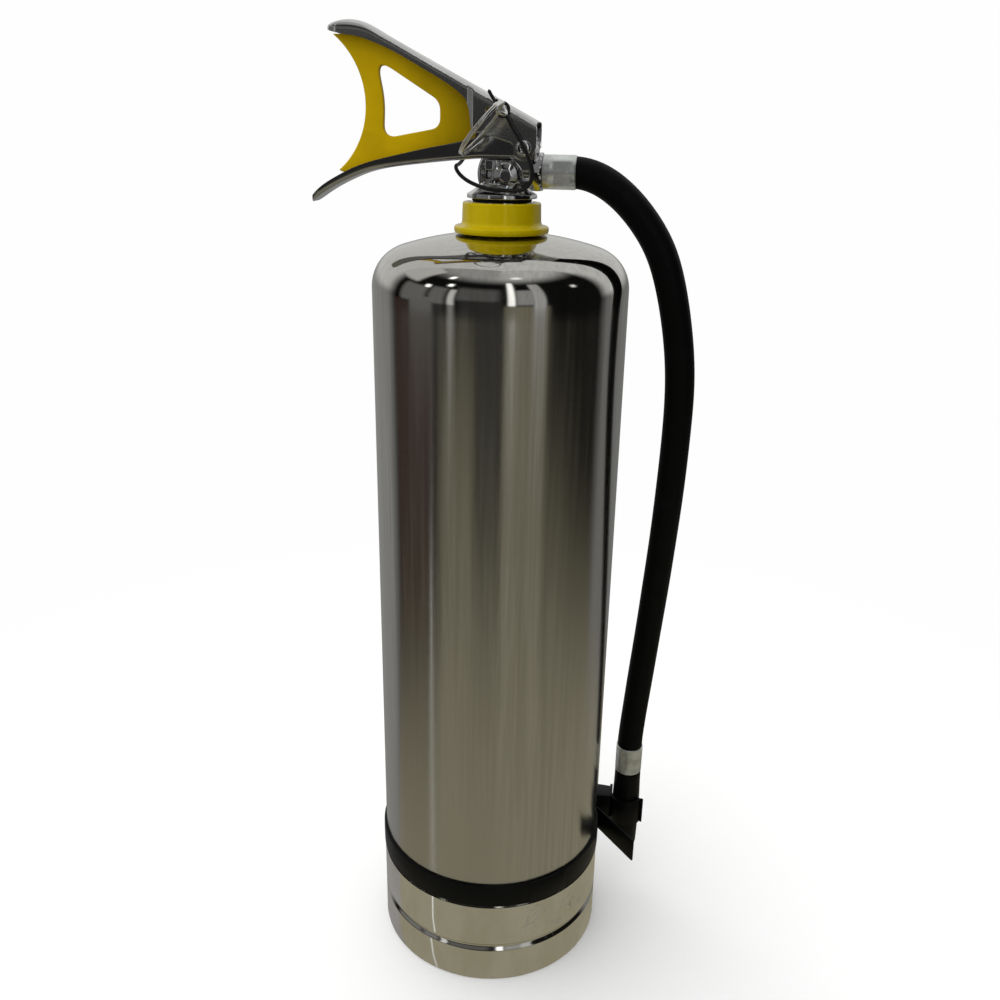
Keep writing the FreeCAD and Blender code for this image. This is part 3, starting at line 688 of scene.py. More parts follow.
# Strengths that matt surfaces see, and the camera's backdrop.
DIFFUSE_TOP = 1.55
DIFFUSE_LOW = 0.12
DIFFUSE_LEFT = 1.45
DIFFUSE_RIGHT = 0.5
BACKDROP = 0.99


def window(value, centre, half, soft):
    """1 within half of centre, falling smoothly to 0 over soft."""
    away = maths("ABSOLUTE", maths("SUBTRACT", value, centre))
    return ramp(away, half + soft, half - soft * 0.3)


def tinted(amount, tint):
    """A tint as bright as amount."""
    return vector_maths("SCALE", one=tint, scale=amount)


def studio_light(azimuth, elevation, east):
    """What shiny surfaces see: a dark room, a warm floor, a pale back wall and the soft boxes."""
    back = plus(ramp(azimuth, *BACK_FROM_LEFT), ramp(azimuth, *BACK_FROM_RIGHT))
    overhead = ramp(azimuth, -10, 30, CEILING_LEFT, CEILING_RIGHT)
    level = plus(DARK, times(ramp(elevation, *CEILING_EDGE), overhead))
    side = ramp(east, -0.2, 0.2, BACK_LEFT, BACK_RIGHT)
    raised = ramp(elevation, *BACK_STEP)
    wall = node("Mix", {0: raised, 2: side, 3: BACK_HIGH}, data_type="FLOAT").outputs[0]
    level = maths("MAXIMUM", level, times(back, wall))
    light = tinted(level, NEUTRAL)
    for azimuth_at, half, soft, height_at, tall, fade, strength, tint in STUDIO.values():
        shape = times(window(azimuth, azimuth_at, half, soft),
                      window(elevation, height_at, tall, fade))
        lamp = tinted(times(shape, strength), tint)
        light = vector_maths("MAXIMUM", one=light, two=lamp)
    late = plus(elevation, ramp(azimuth, -35, -60, 0.0, FLOOR_DELAY))
    floor = tinted(times(ramp(late, *FLOOR_EDGE), GROUND), WARM)
    return vector_maths("MAXIMUM", one=light, two=floor)


def make_world():
    """The studio: shiny surfaces see its lamps, matt ones a soft light and the camera a plain backdrop."""
    world = bpy.data.worlds.new("studio")
    bpy.context.scene.world = world
    world.cycles.sampling_method = "NONE"
    start_tree(world)
    direction = node("TexCoord").outputs["Generated"]
    east, north, up = node("SeparateXYZ", {0: direction}).outputs[:3]
    turn = maths("ARCTAN2", east, times(north, -1.0))
    azimuth = times(turn, 180 / pi)
    elevation = times(maths("ARCSINE", up), 180 / pi)
    mirror = studio_light(azimuth, elevation, east)
    path = node("LightPath")
    soft = ramp(elevation, -60, 75, DIFFUSE_LOW, DIFFUSE_TOP)
    soft = times(soft, ramp(east, 0.8, -0.8, DIFFUSE_RIGHT, DIFFUSE_LEFT))
    matt = node("CombineXYZ", {0: soft, 1: soft, 2: soft}).outputs[0]
    glossy = maths("MAXIMUM", path.outputs["Is Glossy Ray"], path.outputs["Is Transmission Ray"])
    seen = mix(glossy, matt, mirror)
    seen = mix(path.outputs["Is Camera Ray"], seen, shade(WHITE, BACKDROP))
    background = node("Background", {"Color": seen, "Strength": 1.0})
    node("OutputWorld", {0: background.outputs[0]})


def make_floor():
    """A wide pale floor that fades into the backdrop; only the camera and soft light see it."""
    reach, rings, sides = 12000.0, 24, 96
    fade_start, fade_end = 160.0, 750.0
    turns = [FULL_TURN * k / sides for k in range(sides)]
    vertices = [(0, 0, 0)]
    for i in range(1, rings + 1):
        r = reach * (i / rings) ** 2
        vertices += [(r * cos(a), r * sin(a), 0) for a in turns]
    faces = [(0, 1 + k, 1 + (k + 1) % sides) for k in range(sides)]
    for i in range(rings - 1):
        a, b = 1 + i * sides, 1 + (i + 1) * sides
        faces += [(a + k, b + k, b + (k + 1) % sides, a + (k + 1) % sides) for k in range(sides)]
    made, shader = material_tree("floor_paper")
    x, y = position()[:2]
    flat = node("CombineXYZ", {0: x, 1: y}).outputs[0]
    away = vector_maths("LENGTH", "Value", one=flat)
    speckle = grain(300, 4)
    feed(shader, Base_Color=mix(speckle, (0.90, 0.90, 0.895), (0.875, 0.875, 0.87)),
         Roughness=0.9, Normal=bump(speckle, 0.05))
    glow = node("Emission", {"Color": shade(WHITE, BACKDROP), "Strength": 1.0}).outputs[0]
    fade = ramp(away, fade_start * MM, fade_end * MM)
    blend = node("MixShader", {0: fade, 1: shader.outputs[0], 2: glow})
    connect(blend.outputs[0], made.node_tree.nodes["Material Output"].inputs[0])
    floor = mesh_object("floor", vertices, faces, made)
    floor.visible_glossy = False
    floor.visible_diffuse = False


# The camera's place, its angles in degrees and its focal length.
CAMERA_AT = (87.25, -583.81, 544.54)
CAMERA_TURN = 8.304
CAMERA_PITCH = 20.623
CAMERA_ROLL = 1.055
CAMERA_LENS = 35.28


def make_camera():
    data = bpy.data.cameras.new("camera")
    data.lens = CAMERA_LENS
    data.sensor_width = 36.0
    data.clip_start = 0.02
    camera = bpy.data.objects.new("camera", data)
    bpy.context.scene.collection.objects.link(camera)
    turn = Matrix.Rotation(radians(CAMERA_TURN), 4, "Z")
    tilt = Matrix.Rotation(radians(90 - CAMERA_PITCH), 4, "X")
    roll = Matrix.Rotation(radians(CAMERA_ROLL), 4, "Z")
    camera.matrix_world = Matrix.Translation(Vector(CAMERA_AT) * MM) @ turn @ tilt @ roll
    bpy.context.scene.camera = camera


# ================================================================ cylinder
# The dome is a small knuckle arc and a large crown arc.
KNUCKLE_R = 24.0
CROWN_R = 200.7
WALL = 1.2
NECK_R = 18.5


def shoulder_height():
    """Where the straight wall ends, from the shell's top edge at the neck."""
    crown_drop = sqrt((CROWN_R - KNUCKLE_R) ** 2 - (half_x("tank_shell") - KNUCKLE_R) ** 2)
    return extent("tank_shell")[1].z - sqrt(CROWN_R ** 2 - NECK_R ** 2) + crown_drop


def make_tank(finish):
    """The shell: straight wall, knuckle and crown, with its inner skin."""
    foot = extent("tank_shell")[0].z
    radius = half_x("tank_shell")
    shoulder = shoulder_height()
    centre_r = radius - KNUCKLE_R
    crown_z = shoulder - sqrt((CROWN_R - KNUCKLE_R) ** 2 - centre_r ** 2)
    join_angle = degrees(atan2(shoulder - crown_z, centre_r))
    top_angle = degrees(acos(NECK_R / CROWN_R))
    rows = 40

    def skin(inset):
        wall = [(radius - inset, foot + (shoulder - foot) * i / rows) for i in range(rows)]
        knuckle = arc((centre_r, shoulder), KNUCKLE_R - inset, 0, join_angle, 18)
        crown = arc((0, crown_z), CROWN_R - inset, join_angle, top_angle, 20)
        return wall + knuckle + crown[1:]

    tank = lathe("tank", skin(0) + skin(WALL)[::-1], finish, segments=256)
    place(tank, "cylinder", "tank_shell")


def make_skirt(finish):
    """The foot ring: a curled lower edge turned in, and one rolled bead."""
    top = extent("tank_base_skirt")[1].z
    outer = half_x("tank_base_skirt")
    thick = 1.05
    curl_r = 1.3
    bead_z, bead_half, bead_depth, bead_steps = 28.0, 3.4, 1.5, 28
    hem = 6.0
    straight_from, straight_to = 12.0, 44.0

    def face(radius):
        turns = [-pi + FULL_TURN * i / bead_steps for i in range(bead_steps + 1)]
        return [(radius - bead_depth * (1 + cos(a)) / 2, bead_z + bead_half * a / pi)
                for a in turns]

    curl = arc((outer - curl_r, curl_r), curl_r, -90, 0, 7)
    inner = outer - thick
    outside = curl + [(outer, straight_from)] + face(outer) + [(outer, straight_to), (outer, top)]
    inside = [(inner, top), (inner, straight_to)] + face(inner)[::-1]
    foot = [(inner, straight_from), (inner, 2.4), (inner - 1.0, thick), (outer - hem, thick),
            (outer - hem, 0)]
    skirt = lathe("base_skirt", outside + inside + foot, finish, segments=256)
    place(skirt, "cylinder", "tank_base_skirt")


def make_collar(finish):
    """The yellow collar: a flange with a rolled edge under a short straight wall."""
    low, high = extent("neck_collar")
    flange_r = half_x("neck_collar")
    wall_r = flange_r - 4.7
    flange_top = low.z + 4.2
    bore = NECK_R + 0.2
    corners = [(bore, low.z, 0), (flange_r - 0.4, low.z, 0.7), (flange_r, low.z + 1.6, 1.0),
               (flange_r - 0.1, flange_top - 0.4, 1.5), (wall_r + 0.15, flange_top + 0.6, 2.6),
               (wall_r - 0.25, high.z, 1.1), (bore, high.z, 0.3)]
    collar = turned("neck_collar_cap", corners, finish, segments=160, steps=8)
    place(collar, "cylinder", "neck_collar")


# ================================================================ strap, clip and nozzle
def make_strap(finish):
    """The band, its overlap seam and the loose end that runs out in front of the clip."""
    low, high = extent("tank_strap")
    inner = extent("tank_shell")[1].x + 0.05
    outer = inner + 1.5
    corners = [(inner, low.z, 0.2), (outer, low.z, 0.7), (outer + 0.12, (low.z + high.z) / 2, 6),
               (outer, high.z, 0.7), (inner, high.z, 0.2)]
    band = turned("strap_band", corners, finish, segments=256, steps=5)
    seam_start, seam_end = -62, -41
    seam = arc((0, 0), outer + 0.45, seam_start, seam_end, 22)
    seam += arc((0, 0), outer - 0.5, seam_end, seam_start, 22)
    overlap = prism("strap_overlap", seam, low.z + 0.3, high.z - 0.3, finish)
    soften(overlap, 0.3, 2)
    start, tip = Vector((75.4, 17.2)), Vector((102.8, -16.2))
    along = (tip - start).normalized()
    side = Vector((along.y, -along.x)) * 1.5
    tail_line = [tuple(p) for p in (start, tip, tip - side, start - side)]
    tail = prism("strap_tail", tail_line, low.z, high.z, finish)
    soften(tail, 0.35, 3)
    place(join("strap", [band, overlap, tail]), "cylinder", "tank_strap")


def make_clip(finish):
    """A block on the strap with an open cradle round the nozzle."""
    centre = middle("nozzle_body")
    cx, cy = centre.x, centre.y
    inner = half_x("nozzle_body") + 0.35
    outer = inner + 2.0
    bottom, top = 64.0, 84.0
    opening = 335
    lip = [(cx + outer + 0.6, cy - 6.3), (cx + outer + 0.6, cy - 4.9)]
    bow = arc((cx, cy), outer, 180, opening, 40) + lip + arc((cx, cy), inner, opening, 180, 40)
    cradle = prism("clip", bow, bottom, top, finish)
    arm_line = [(cx - outer, cy - 1, 0), (cx - inner, cy - 1, 0), (cx - inner, cy + 9, 0.9),
                (cx - outer, cy + 9, 0.9)]
    block_line = [(cx - outer - 11.5, cy - 8.0, 0.8), (cx - outer + 1.0, cy - 7.4, 1.5),
                  (cx - outer + 0.8, cy + 5.0, 1.0), (cx - outer - 11.5, cy + 6.0, 0.8)]
    arm = prism("clip_arm", rounded(arm_line), bottom, top, finish)
    block = prism("clip_block", rounded(block_line), bottom + 1, top + 1, finish)
    combine(cradle, [arm, block], "UNION")
    hollow = prism("clip_hollow", arc((cx, cy), inner, 0, 356, 90), bottom - 3, top + 5, finish)
    tank_r = extent("tank_shell")[1].x + 1.65
    tank_space = prism("clip_tank", arc((0, 0), tank_r, 0, 358, 180), bottom - 5, top + 5, finish)
    combine(cradle, [hollow, tank_space], "DIFFERENCE")
    soften(cradle, 0.35, 2, 50)
    place(cradle, "cylinder", "hose_clip")


def make_nozzle(finish):
    """The moulded nozzle: a gently swelling tube with a shouldered top and an open end."""
    low, high = extent("nozzle_body")
    centre = middle("nozzle_body")
    radius = half_x("nozzle_body")
    throat, socket, mouth = 3.6, 5.75, 7.0
    socket_floor = low.z + 50.5
    corners = [(throat, low.z + 14, 0), (mouth, low.z, 0.3), (radius - 1.0, low.z, 0.6),
               (radius - 0.4, low.z + 3, 1.0), (radius, low.z + 20, 4), (radius, low.z + 44, 6),
               (radius - 0.45, high.z - 6.5, 2), (radius - 0.5, high.z - 1.0, 0.7), (socket, high.z, 0.2),
               (socket, socket_floor, 0), (throat, socket_floor, 0)]
    body = turned("nozzle", corners, finish, (centre.x, centre.y, 0))
    place(body, "hose_line", "nozzle_body")


# ================================================================ hose
def hose_path():
    """The centre line from the top ferrule to the lower one."""
    top = middle("hose_ferrule_top")
    lower = middle("hose_ferrule_bottom")
    bend = [(42.5, 0, -0.1), (53.0, 0, -2.4), (66.5, 0, -10.1), (80.5, 0, -23.8), (92.0, 0, -41.0),
            (100.3, 0.4, -63.8), (105.6, 1.6, -87.3), (109.2, 3.6, -113.3), (110.2, 7.0, -149.3),
            (108.6, 13.6, -205.3), (105.2, 22.2, -266.3), (100.6, 29.4, -332.3), (97.6, 32.0, -373.3)]
    start = [(26.5, 0, top.z), (31.0, 0, top.z), (36.5, 0, top.z)]
    run = [(x, y, top.z + drop) for x, y, drop in bend]
    end = [(lower.x, lower.y, lower.z + dz) for dz in (10.5, 1.5, -7.0)]
    return spline(start + run + end, 150)


def make_hose(finish):
    """The hose, with very shallow lengthwise flats left by the wrapping cloth."""
    radius = 8.8

    def wrapped(t, angle):
        return 1.0 + 0.006 * sin(7 * angle + 9 * t) + 0.004 * sin(40 * t)

    hose = sweep("hose_tube", hose_path(), radius, finish, sides=48, taper=wrapped)
    place(hose, "hose_line", "hose")


def crimp(flats, apothem, start, end):
    """A radius rule: flats pressed into the sleeve between two heights."""
    step = FULL_TURN / flats
    run_in = 1.2

    def rule(angle, radius, height):
        if radius < apothem - 0.4:
            return radius
        press = portion(height, start, start + run_in) * portion(height, end, end - run_in)
        flat = apothem / cos((angle % step) - step / 2)
        return radius + (min(flat, radius) - radius) * press
    return rule


def sleeve_outline(outer, low, high, inner=8.7, rows=16):
    """A tube's outline with chamfered ends and rows along its outside for a crimp to shape."""
    edge = 0.5
    wall = [(outer, low + edge + (high - low - 2 * edge) * i / rows) for i in range(rows + 1)]
    return [(inner, low), (outer - edge, low)] + wall + [(outer - edge, high), (inner, high)]


def make_ferrules(finish):
    """The crimped sleeves at both ends of the hose."""
    flats = 8
    top_low, top_high = extent("hose_ferrule_top")
    radius = (top_high.z - top_low.z) / 2
    pressed = radius - 0.45
    low, high = extent("hose_ferrule_bottom")
    at = middle("hose_ferrule_bottom")
    sleeves = [
        ("top", radius, (0, 0, middle("hose_ferrule_top").z), X_AXIS, (top_low.x, top_high.x), (4.5, 1.5)),
        ("bottom", half_x("hose_ferrule_bottom"), (at.x, at.y, 0), Z_AXIS, (low.z, high.z), (3.0, 2.0)),
    ]
    for end, outer, centre, axis, (start, stop), (before, after) in sleeves:
        sleeve = lathe("ferrule_" + end, sleeve_outline(outer, start, stop), finish, centre, axis, 144,
                       crimp(flats, pressed, start + before, stop - after))
        place(sleeve, "hose_line", "hose_ferrule_" + end)


def hex_nut(across, chamfer, low, high):
    """A radius rule for a hexagon whose corners are chamfered at both ends."""
    def rule(angle, radius, height):
        if radius < across / 2 - 1:
            return radius
        flat = across / 2 / cos((angle % (pi / 3)) - pi / 6)
        room = min(height - low, high - height)
        return min(flat, across / 2 + chamfer + room * 1.2)
    return rule


def make_nut(finish):
    """The coupling nut between the valve's nipple and the hose."""
    low, high = extent("hose_coupling_nut")
    across, bore, rows = 20.6, 5.75, 8
    face_r = across / 2 - 1.2
    flats = [(across / 2, low.x + (high.x - low.x) * i / rows) for i in range(rows + 1)]
    outline = [(bore, low.x), (face_r, low.x)] + flats + [(face_r, high.x), (bore, high.x)]
    nut = lathe("coupling_nut", outline, finish, (0, 0, middle("hose_coupling_nut").z), X_AXIS, 144,
                hex_nut(across, 0.1, low.x, high.x))
    place(nut, "cylinder", "hose_coupling_nut")


# ================================================================ valve
def make_valve(finish):
    """The cast and plated body: shank, bell flange, barrel, front boss, lug and nipple."""
    outlet_z = middle("hose_coupling_nut").z
    port_z = middle("side_plug").z
    gauge_x, gauge_z = -1.5, 520.5
    flange_z, barrel_top = 508.6, 529.6
    flange_r, shank_r, shank_bore = 20.3, 14.9, 9.0
    block_half = 8.8
    bell = [(0, flange_z, 0), (flange_r, flange_z, 0.5), (flange_r - 0.2, flange_z + 2.3, 0.8),
            (16.5, 513.0, 2.0), (11.9, 516.6, 2.5), (11.0, 519.0, 0.5), (0, 519.0, 0)]
    barrel = [(0, 514, 0), (9.8, 514, 0.5), (9.8, barrel_top, 1.2), (0, barrel_top, 0)]
    nipple = [(0, 0, 0), (8.0, 0, 0), (8.0, 17.0, 0.7), (0, 17.0, 0)]
    boss = [(0, 0, 0), (8.6, 0, 0), (8.4, 10.2, 3.4), (3.4, 12.9, 3.0), (0, 13.0, 0)]
    gauge_boss = [(0, 0, 0), (6.5, 0, 0), (6.5, 14.0, 0.6), (0, 14.0, 0)]
    plug_boss = [(0, 0, 0), (7.6, 0, 0), (7.2, 7.7, 0.8), (0, 7.7, 0)]
    lug = [(6.5, 524, 0), (6.5, 536, 3), (8.5, 542.4, 4), (17.9, 542.4, 4), (19.8, 536, 3), (19.8, 528, 1.5),
           (16, 524, 0)]
    bridge = [(-9.0, 524, 0), (-9.0, 529.7, 1.5), (12.0, 529.7, 1.5), (12.0, 524, 0)]
    parts = [
        turned("barrel", barrel, finish),
        turned("nipple", nipple, finish, (0, 0, outlet_z), X_AXIS),
        turned("boss", boss, finish, (3.6, 0, port_z), -Y_AXIS),
        prism("lug", rounded(lug), -block_half, block_half, finish, "XZ"),
        turned("gauge_boss", gauge_boss, finish, (gauge_x, 0, gauge_z), Y_AXIS),
        turned("plug_boss", plug_boss, finish, (0, 0, port_z), -X_AXIS),
        prism("bridge", rounded(bridge), -block_half, block_half, finish, "XZ"),
    ]
    flange = turned("valve_flange", bell, finish, segments=128, steps=8)
    casting = cast(join("valve_casting", parts), 0.38, 7)
    shank_line = [(shank_bore, 478), (shank_r - 0.3, 478), (shank_r, 480), (shank_r, flange_z + 0.1),
                  (shank_bore, flange_z + 0.1)]
    shank = lathe("valve_shank", shank_line, finish)
    grooves = thread_outline(6.9, 5.0, 16.8, 19.9, 1.2)
    thread = lathe("valve_thread", grooves, finish, (0, 0, outlet_z), X_AXIS)
    place(join("valve", [casting, flange, shank, thread]), "cylinder", "valve_body")


def thread_outline(outer, inner, low, high, pitch):
    """Plain V grooves round a cylinder."""
    points = [(inner, low)]
    turns = max(int((high - low) / pitch), 1)
    step = (high - low) / turns
    for i in range(turns):
        points += [(outer - 0.5, low + step * i), (outer, low + step * (i + 0.5))]
    return points + [(outer - 0.5, high), (inner, high)]


def make_side_plug(finish):
    """The ribbed plug on the handle side of the valve."""
    inner_end = extent("side_plug")[1].x
    rib_r, groove_r, first, pitch, ribs = 6.2, 5.5, 8.35, 1.05, 3
    outline = [(0, -inner_end), (4.0, -inner_end), (4.0, 8.3)]
    for i in range(ribs):
        start = first + pitch * i
        outline += [(groove_r, start), (rib_r, start + 0.2), (rib_r, start + 0.75), (groove_r, start + 0.95)]
    outline += [(5.0, 11.4), (0, 11.4)]
    plug = lathe("side_plug_head", outline, finish, (0, 0, middle("side_plug").z), -X_AXIS, 72)
    place(plug, "cylinder", "side_plug")


# ================================================================ handles
SHEET = 1.5             # thickness of the stamped steel
HANDLE_HALF = 10.5
CHEEK_HALF = 12.5
PIVOT = (13.2, 535.8)
LEVER_SLOPE = -0.505
LEVER_REF = (-68.3, 594.4)
PIVOT_BORE = 2.6
PIN_X, PIN_Z = 1.5, 555.6


def portion(x, start, end):
    """How far x is from start to end, held between 0 and 1."""
    return min(max((x - start) / (end - start), 0), 1)


def nose_cut(x, tip, length, depth):
    """How much narrower a handle is near its rounded tip."""
    t = portion(x, tip + length, tip)
    return depth * (1 - sqrt(1 - t * t))


def steps_between(marks, spacing):
    """Stations that hit every mark and are about spacing apart."""
    stations = []
    for a, b in zip(marks, marks[1:]):
        count = max(int(abs(b - a) / spacing), 1)
        stations += [a + (b - a) * i / count for i in range(count)]
    return stations + [marks[-1]]


def make_lever(finish):
    """The squeeze lever: a channel open below, wider round the pivot, with a rounded nose."""
    tip, step_front, step_back = -98.6, -19.0, -15.0
    back = extent("squeeze_lever")[1].x
    nose = [(tip, 597.2), (-94.0, 598.7), (-86.0, 599.2), (-79.5, 598.6), (-74.0, 597.1), LEVER_REF]
    end = (back, LEVER_REF[1] + LEVER_SLOPE * (back - LEVER_REF[0]))
    nose_line = smooth_line(nose)
    slope_line = line_through([LEVER_REF, end])
    lobe_r = 6.6
    crown_high, crown_x, crown_wide = 2.0, -86.0, 13.0
    hem_front = [(tip, 595.6), (-94.8, 594.3), (-82.6, 592.4), (-71.5, 589.2), (-61.3, 585.1),
                 (-48.4, 578.6), (-34.5, 571.2), (-22.1, 563.0), (-19.4, 560.4)]
    front_line = smooth_line(hem_front)
    cheek = [(-19.4, 560.4), (-17.4, 553.6), (-16.5, 546.0), (-15.6, 544.0), (-10.8, 543.2), (-2.4, 541.0),
             (6.1, 538.5), (7.6, 537.0)]
    lobe = arc(PIVOT, lobe_r, -148, -1, 22)
    cheek_line = line_through(cheek + lobe + [(back, PIVOT[1] + 0.4)])

    def web(x):
        return nose_line(x) if x < LEVER_REF[0] else slope_line(x)

    def hem(x):
        return front_line(x) if x < hem_front[-1][0] else cheek_line(x)

    def half_width(x):
        s = portion(x, step_front, step_back)
        return HANDLE_HALF - nose_cut(x, tip, 7.0, 5.0) + (CHEEK_HALF - HANDLE_HALF) * s * s * (3 - 2 * s)

    def crown(x):
        return crown_high * exp(-((x - crown_x) / crown_wide) ** 2)

    marks = [tip, tip + 1.0, -92.0, -70.0, -21.0, -14.0, 4.0, back]
    stations = steps_between(marks[:5], 1.3) + steps_between(marks[4:6], 0.4)[1:]
    stations += steps_between(marks[5:7], 1.3)[1:] + steps_between(marks[6:], 0.5)[1:]
    lever = channel("lever", stations, half_width, web, hem, SHEET, 3.6, finish, crown)
    holes = [drill(r, -20, 20, finish, (x, 0, z), Y_AXIS)
             for x, z, r in ((PIN_X, PIN_Z, 1.85), (-6.4, 555.0, 2.0), (*PIVOT, PIVOT_BORE))]
    combine(lever, holes, "DIFFERENCE")
    soften(lever, 0.28, 2, 50)
    place(lever, "lever", "squeeze_lever")


def make_handle(finish):
    """The carry handle: a channel open on top, its cheeks standing either side of the valve."""
    tip, back = -111.6, extent("carry_handle")[1].x
    gland_r = 4.7
    lean_most, lean_from, lean_full = 0.06, -26.0, -38.0
    under = [(tip, 504.0), (-106.4, 507.6), (-100.6, 511.2), (-89.6, 516.7), (-78.8, 520.9), (-68.1, 523.4),
             (-58.9, 524.8), (-47.1, 526.3), (-33.2, 527.9), (-20.0, 529.2), (-12.6, 529.82)]
    rail = [(tip, 507.0), (-104.0, 513.5), (-96.7, 517.9), (-83.6, 524.2), (-75.0, 527.1), (-57.4, 531.4),
            (-47.0, 533.8), (-33.2, 536.6), (-24.3, 538.4), (-14.6, 540.8)]
    stand = [(-14.5, 541.0), (-12.8, 545.6), (-11.6, 547.0), (12.5, 547.0), (14.5, 546.2), (17.0, 543.5),
             (18.6, 541.0), (back, 538.0)]
    under_line = smooth_line(under)
    rail_line = smooth_line(rail)
    stand_line = line_through(stand)

    def web(x):
        return under_line(x) if x < under[-1][0] else under[-1][1]

    def hem(x):
        return rail_line(x) if x < stand[0][0] else stand_line(x)

    def half_width(x):
        return HANDLE_HALF - nose_cut(x, tip, 6.0, 4.0)

    def lean(x):
        return lean_most * portion(x, lean_from, lean_full)

    stations = steps_between([tip, tip + 0.8, -104.0, -20.0], 1.4) + steps_between([-20.0, -8.0], 0.5)[1:]
    stations += steps_between([-8.0, 8.0, back], 1.0)[1:]
    handle_chrome_painted_shade = channel("handle_chrome_painted_shade", stations, half_width, web, hem, SHEET, 2.6, finish, lean=lean)
    holes = [drill(PIVOT_BORE, -20, 20, finish, (PIVOT[0], 0, PIVOT[1]), Y_AXIS),
             drill(gland_r, 520, 535, finish)]
    combine(handle_chrome_painted_shade, holes, "DIFFERENCE")
    soften(handle_chrome_painted_shade, 0.28, 2, 50)
    place(handle_chrome_painted_shade, "cylinder", "carry_handle")


def make_rivet(finish):
    """A tubular rivet with a rolled, dimpled head each side."""
    half = extent("lever_pivot_rivet")[1].y
    seat = CHEEK_HALF + 0.15
    head = [(0, half - 1.3), (1.2, half - 1.2), (1.9, half - 0.5), (2.5, half - 0.05), (3.2, half - 0.1),
            (4.1, half - 0.7), (4.45, seat + 0.5), (4.4, seat), (2.5, seat)]
    outline = head + [(r, -h) for r, h in head[::-1]]
    rivet = lathe("pivot_rivet", outline, finish, (PIVOT[0], 0, PIVOT[1]), Y_AXIS, 64)
    place(rivet, "cylinder", "lever_pivot_rivet")


def make_spring(finish):
    """The stem's return spring: a wire helix with room for its seats at both ends."""
    low, high = extent("stem_spring")
    wire, coils, steps = 0.8, 4, 24
    end_room = 1.15 * wire
    radius = high.x - wire - 0.1
    rise = (high.z - low.z - 2 * end_room) / (coils * steps)
    path = []
    for i in range(coils * steps + 1):
        a = FULL_TURN * i / steps
        path.append(Vector((radius * cos(a), radius * sin(a), low.z + end_room + rise * i)))
    spring = sweep("stem_return_spring", path, wire, finish, 16)
    place(spring, "cylinder", "stem_spring")
    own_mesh(spring)


def make_insert(finish):
    """The yellow moulded filler between the handles, with its large rounded window."""
    low, high = extent("lock_insert")
    left = arc((-125.1, 557.5), 45.9, -51.2, 52.4, 40)
    top = [(-82.6, 592.8), (-71.5, 589.6), (-61.3, 585.6), (-48.4, 579.4), (-34.5, 572.2), (-21.0, 564.2)]
    right = [(-14.5, 558.0), (-12.2, 552.0), (-12.0, 544.0), (-15.0, 537.5)]
    bottom = [(-24.3, 533.2), (-47.0, 528.9), (-58.9, 527.2), (-68.1, 525.9), (-78.8, 523.3), (-88.0, 519.8)]
    line = left + curve_through(left[-1:] + top, 30)[1:] + curve_through(right, 10)
    line += curve_through(bottom + left[:1], 30)[:-1]
    body = prism("insert", line, low.y, high.y, finish, "XZ")
    window_line = [(-72.6, 581.6, 7.0), (-36.0, 559.6, 8.5), (-36.0, 545.8, 6.5), (-69.4, 539.4, 6.5),
                   (-68.2, 560.0, 60)]
    hole = prism("insert_window", rounded(window_line, 10), low.y - 2, high.y + 2, finish, "XZ")
    combine(body, [hole], "DIFFERENCE")
    soften(body, 0.7, 4, 40)
    place(body, "insert", "lock_insert")


# ================================================================ safety pin, ring and tamper tie
PIN_EYE = Vector((PIN_X, -22.0, PIN_Z))
RING_DOWN = Vector((-0.65, 0, -0.76)).normalized()
RING_R = 17.0


def make_pin(finish):
    """A wire pin with its end curled into an eye."""
    pin_r, eye_wire, loop_r, lean = 1.75, 1.15, 3.6, radians(72)
    steps, open_steps = 36, 2
    normal = RING_DOWN * sin(lean) + Y_AXIS * cos(lean)
    across = normal.cross(Y_AXIS).normalized()
    inward = across.cross(normal).normalized()
    if inward.y < 0:
        inward = -inward
    turns = [FULL_TURN * i / steps for i in range(steps - open_steps)]
    loop = [PIN_EYE + inward * (loop_r * cos(a)) + across * (loop_r * sin(a)) for a in turns]
    reach = np.linspace(PIN_EYE.y + loop_r + 1.2, extent("safety_pin")[1].y, 18)
    ring = sweep("pin_eye", loop[::-1], eye_wire, finish, 20)
    rod_line = [Vector((PIN_X, y, PIN_Z)) for y in reach]
    rod = sweep("pin_rod", rod_line, pin_r, finish, 32, taper=round_tip(0.04))
    place(join("pin", [ring, rod]), "pin", "safety_pin")


def make_split_ring(finish):
    """A split key ring of nearly two turns whose free end stands off."""
    wire, turns, count, lean, start = 0.78, 1.86, 190, radians(42), radians(165)
    free_from, free_in, free_off = 0.80, 1.6, 2.2
    out = RING_DOWN * cos(lean) - Y_AXIS * sin(lean)
    centre = PIN_EYE + out * RING_R
    normal = RING_DOWN.cross(Y_AXIS).normalized()
    side = normal.cross(out).normalized()
    path = []
    for i in range(count):
        t = i / (count - 1)
        a = start + FULL_TURN * turns * t
        splay = (max(t - free_from, 0) / (1 - free_from)) ** 2
        r = RING_R - free_in * splay
        lift = (t - 0.5) * 2.1 * wire + free_off * splay
        path.append(centre + out * (r * cos(a)) + side * (r * sin(a)) + normal * lift)
    ring = sweep("split_ring", path, wire, finish, 20, taper=round_tip(0.006))
    place(ring, "ring", "pin_ring")


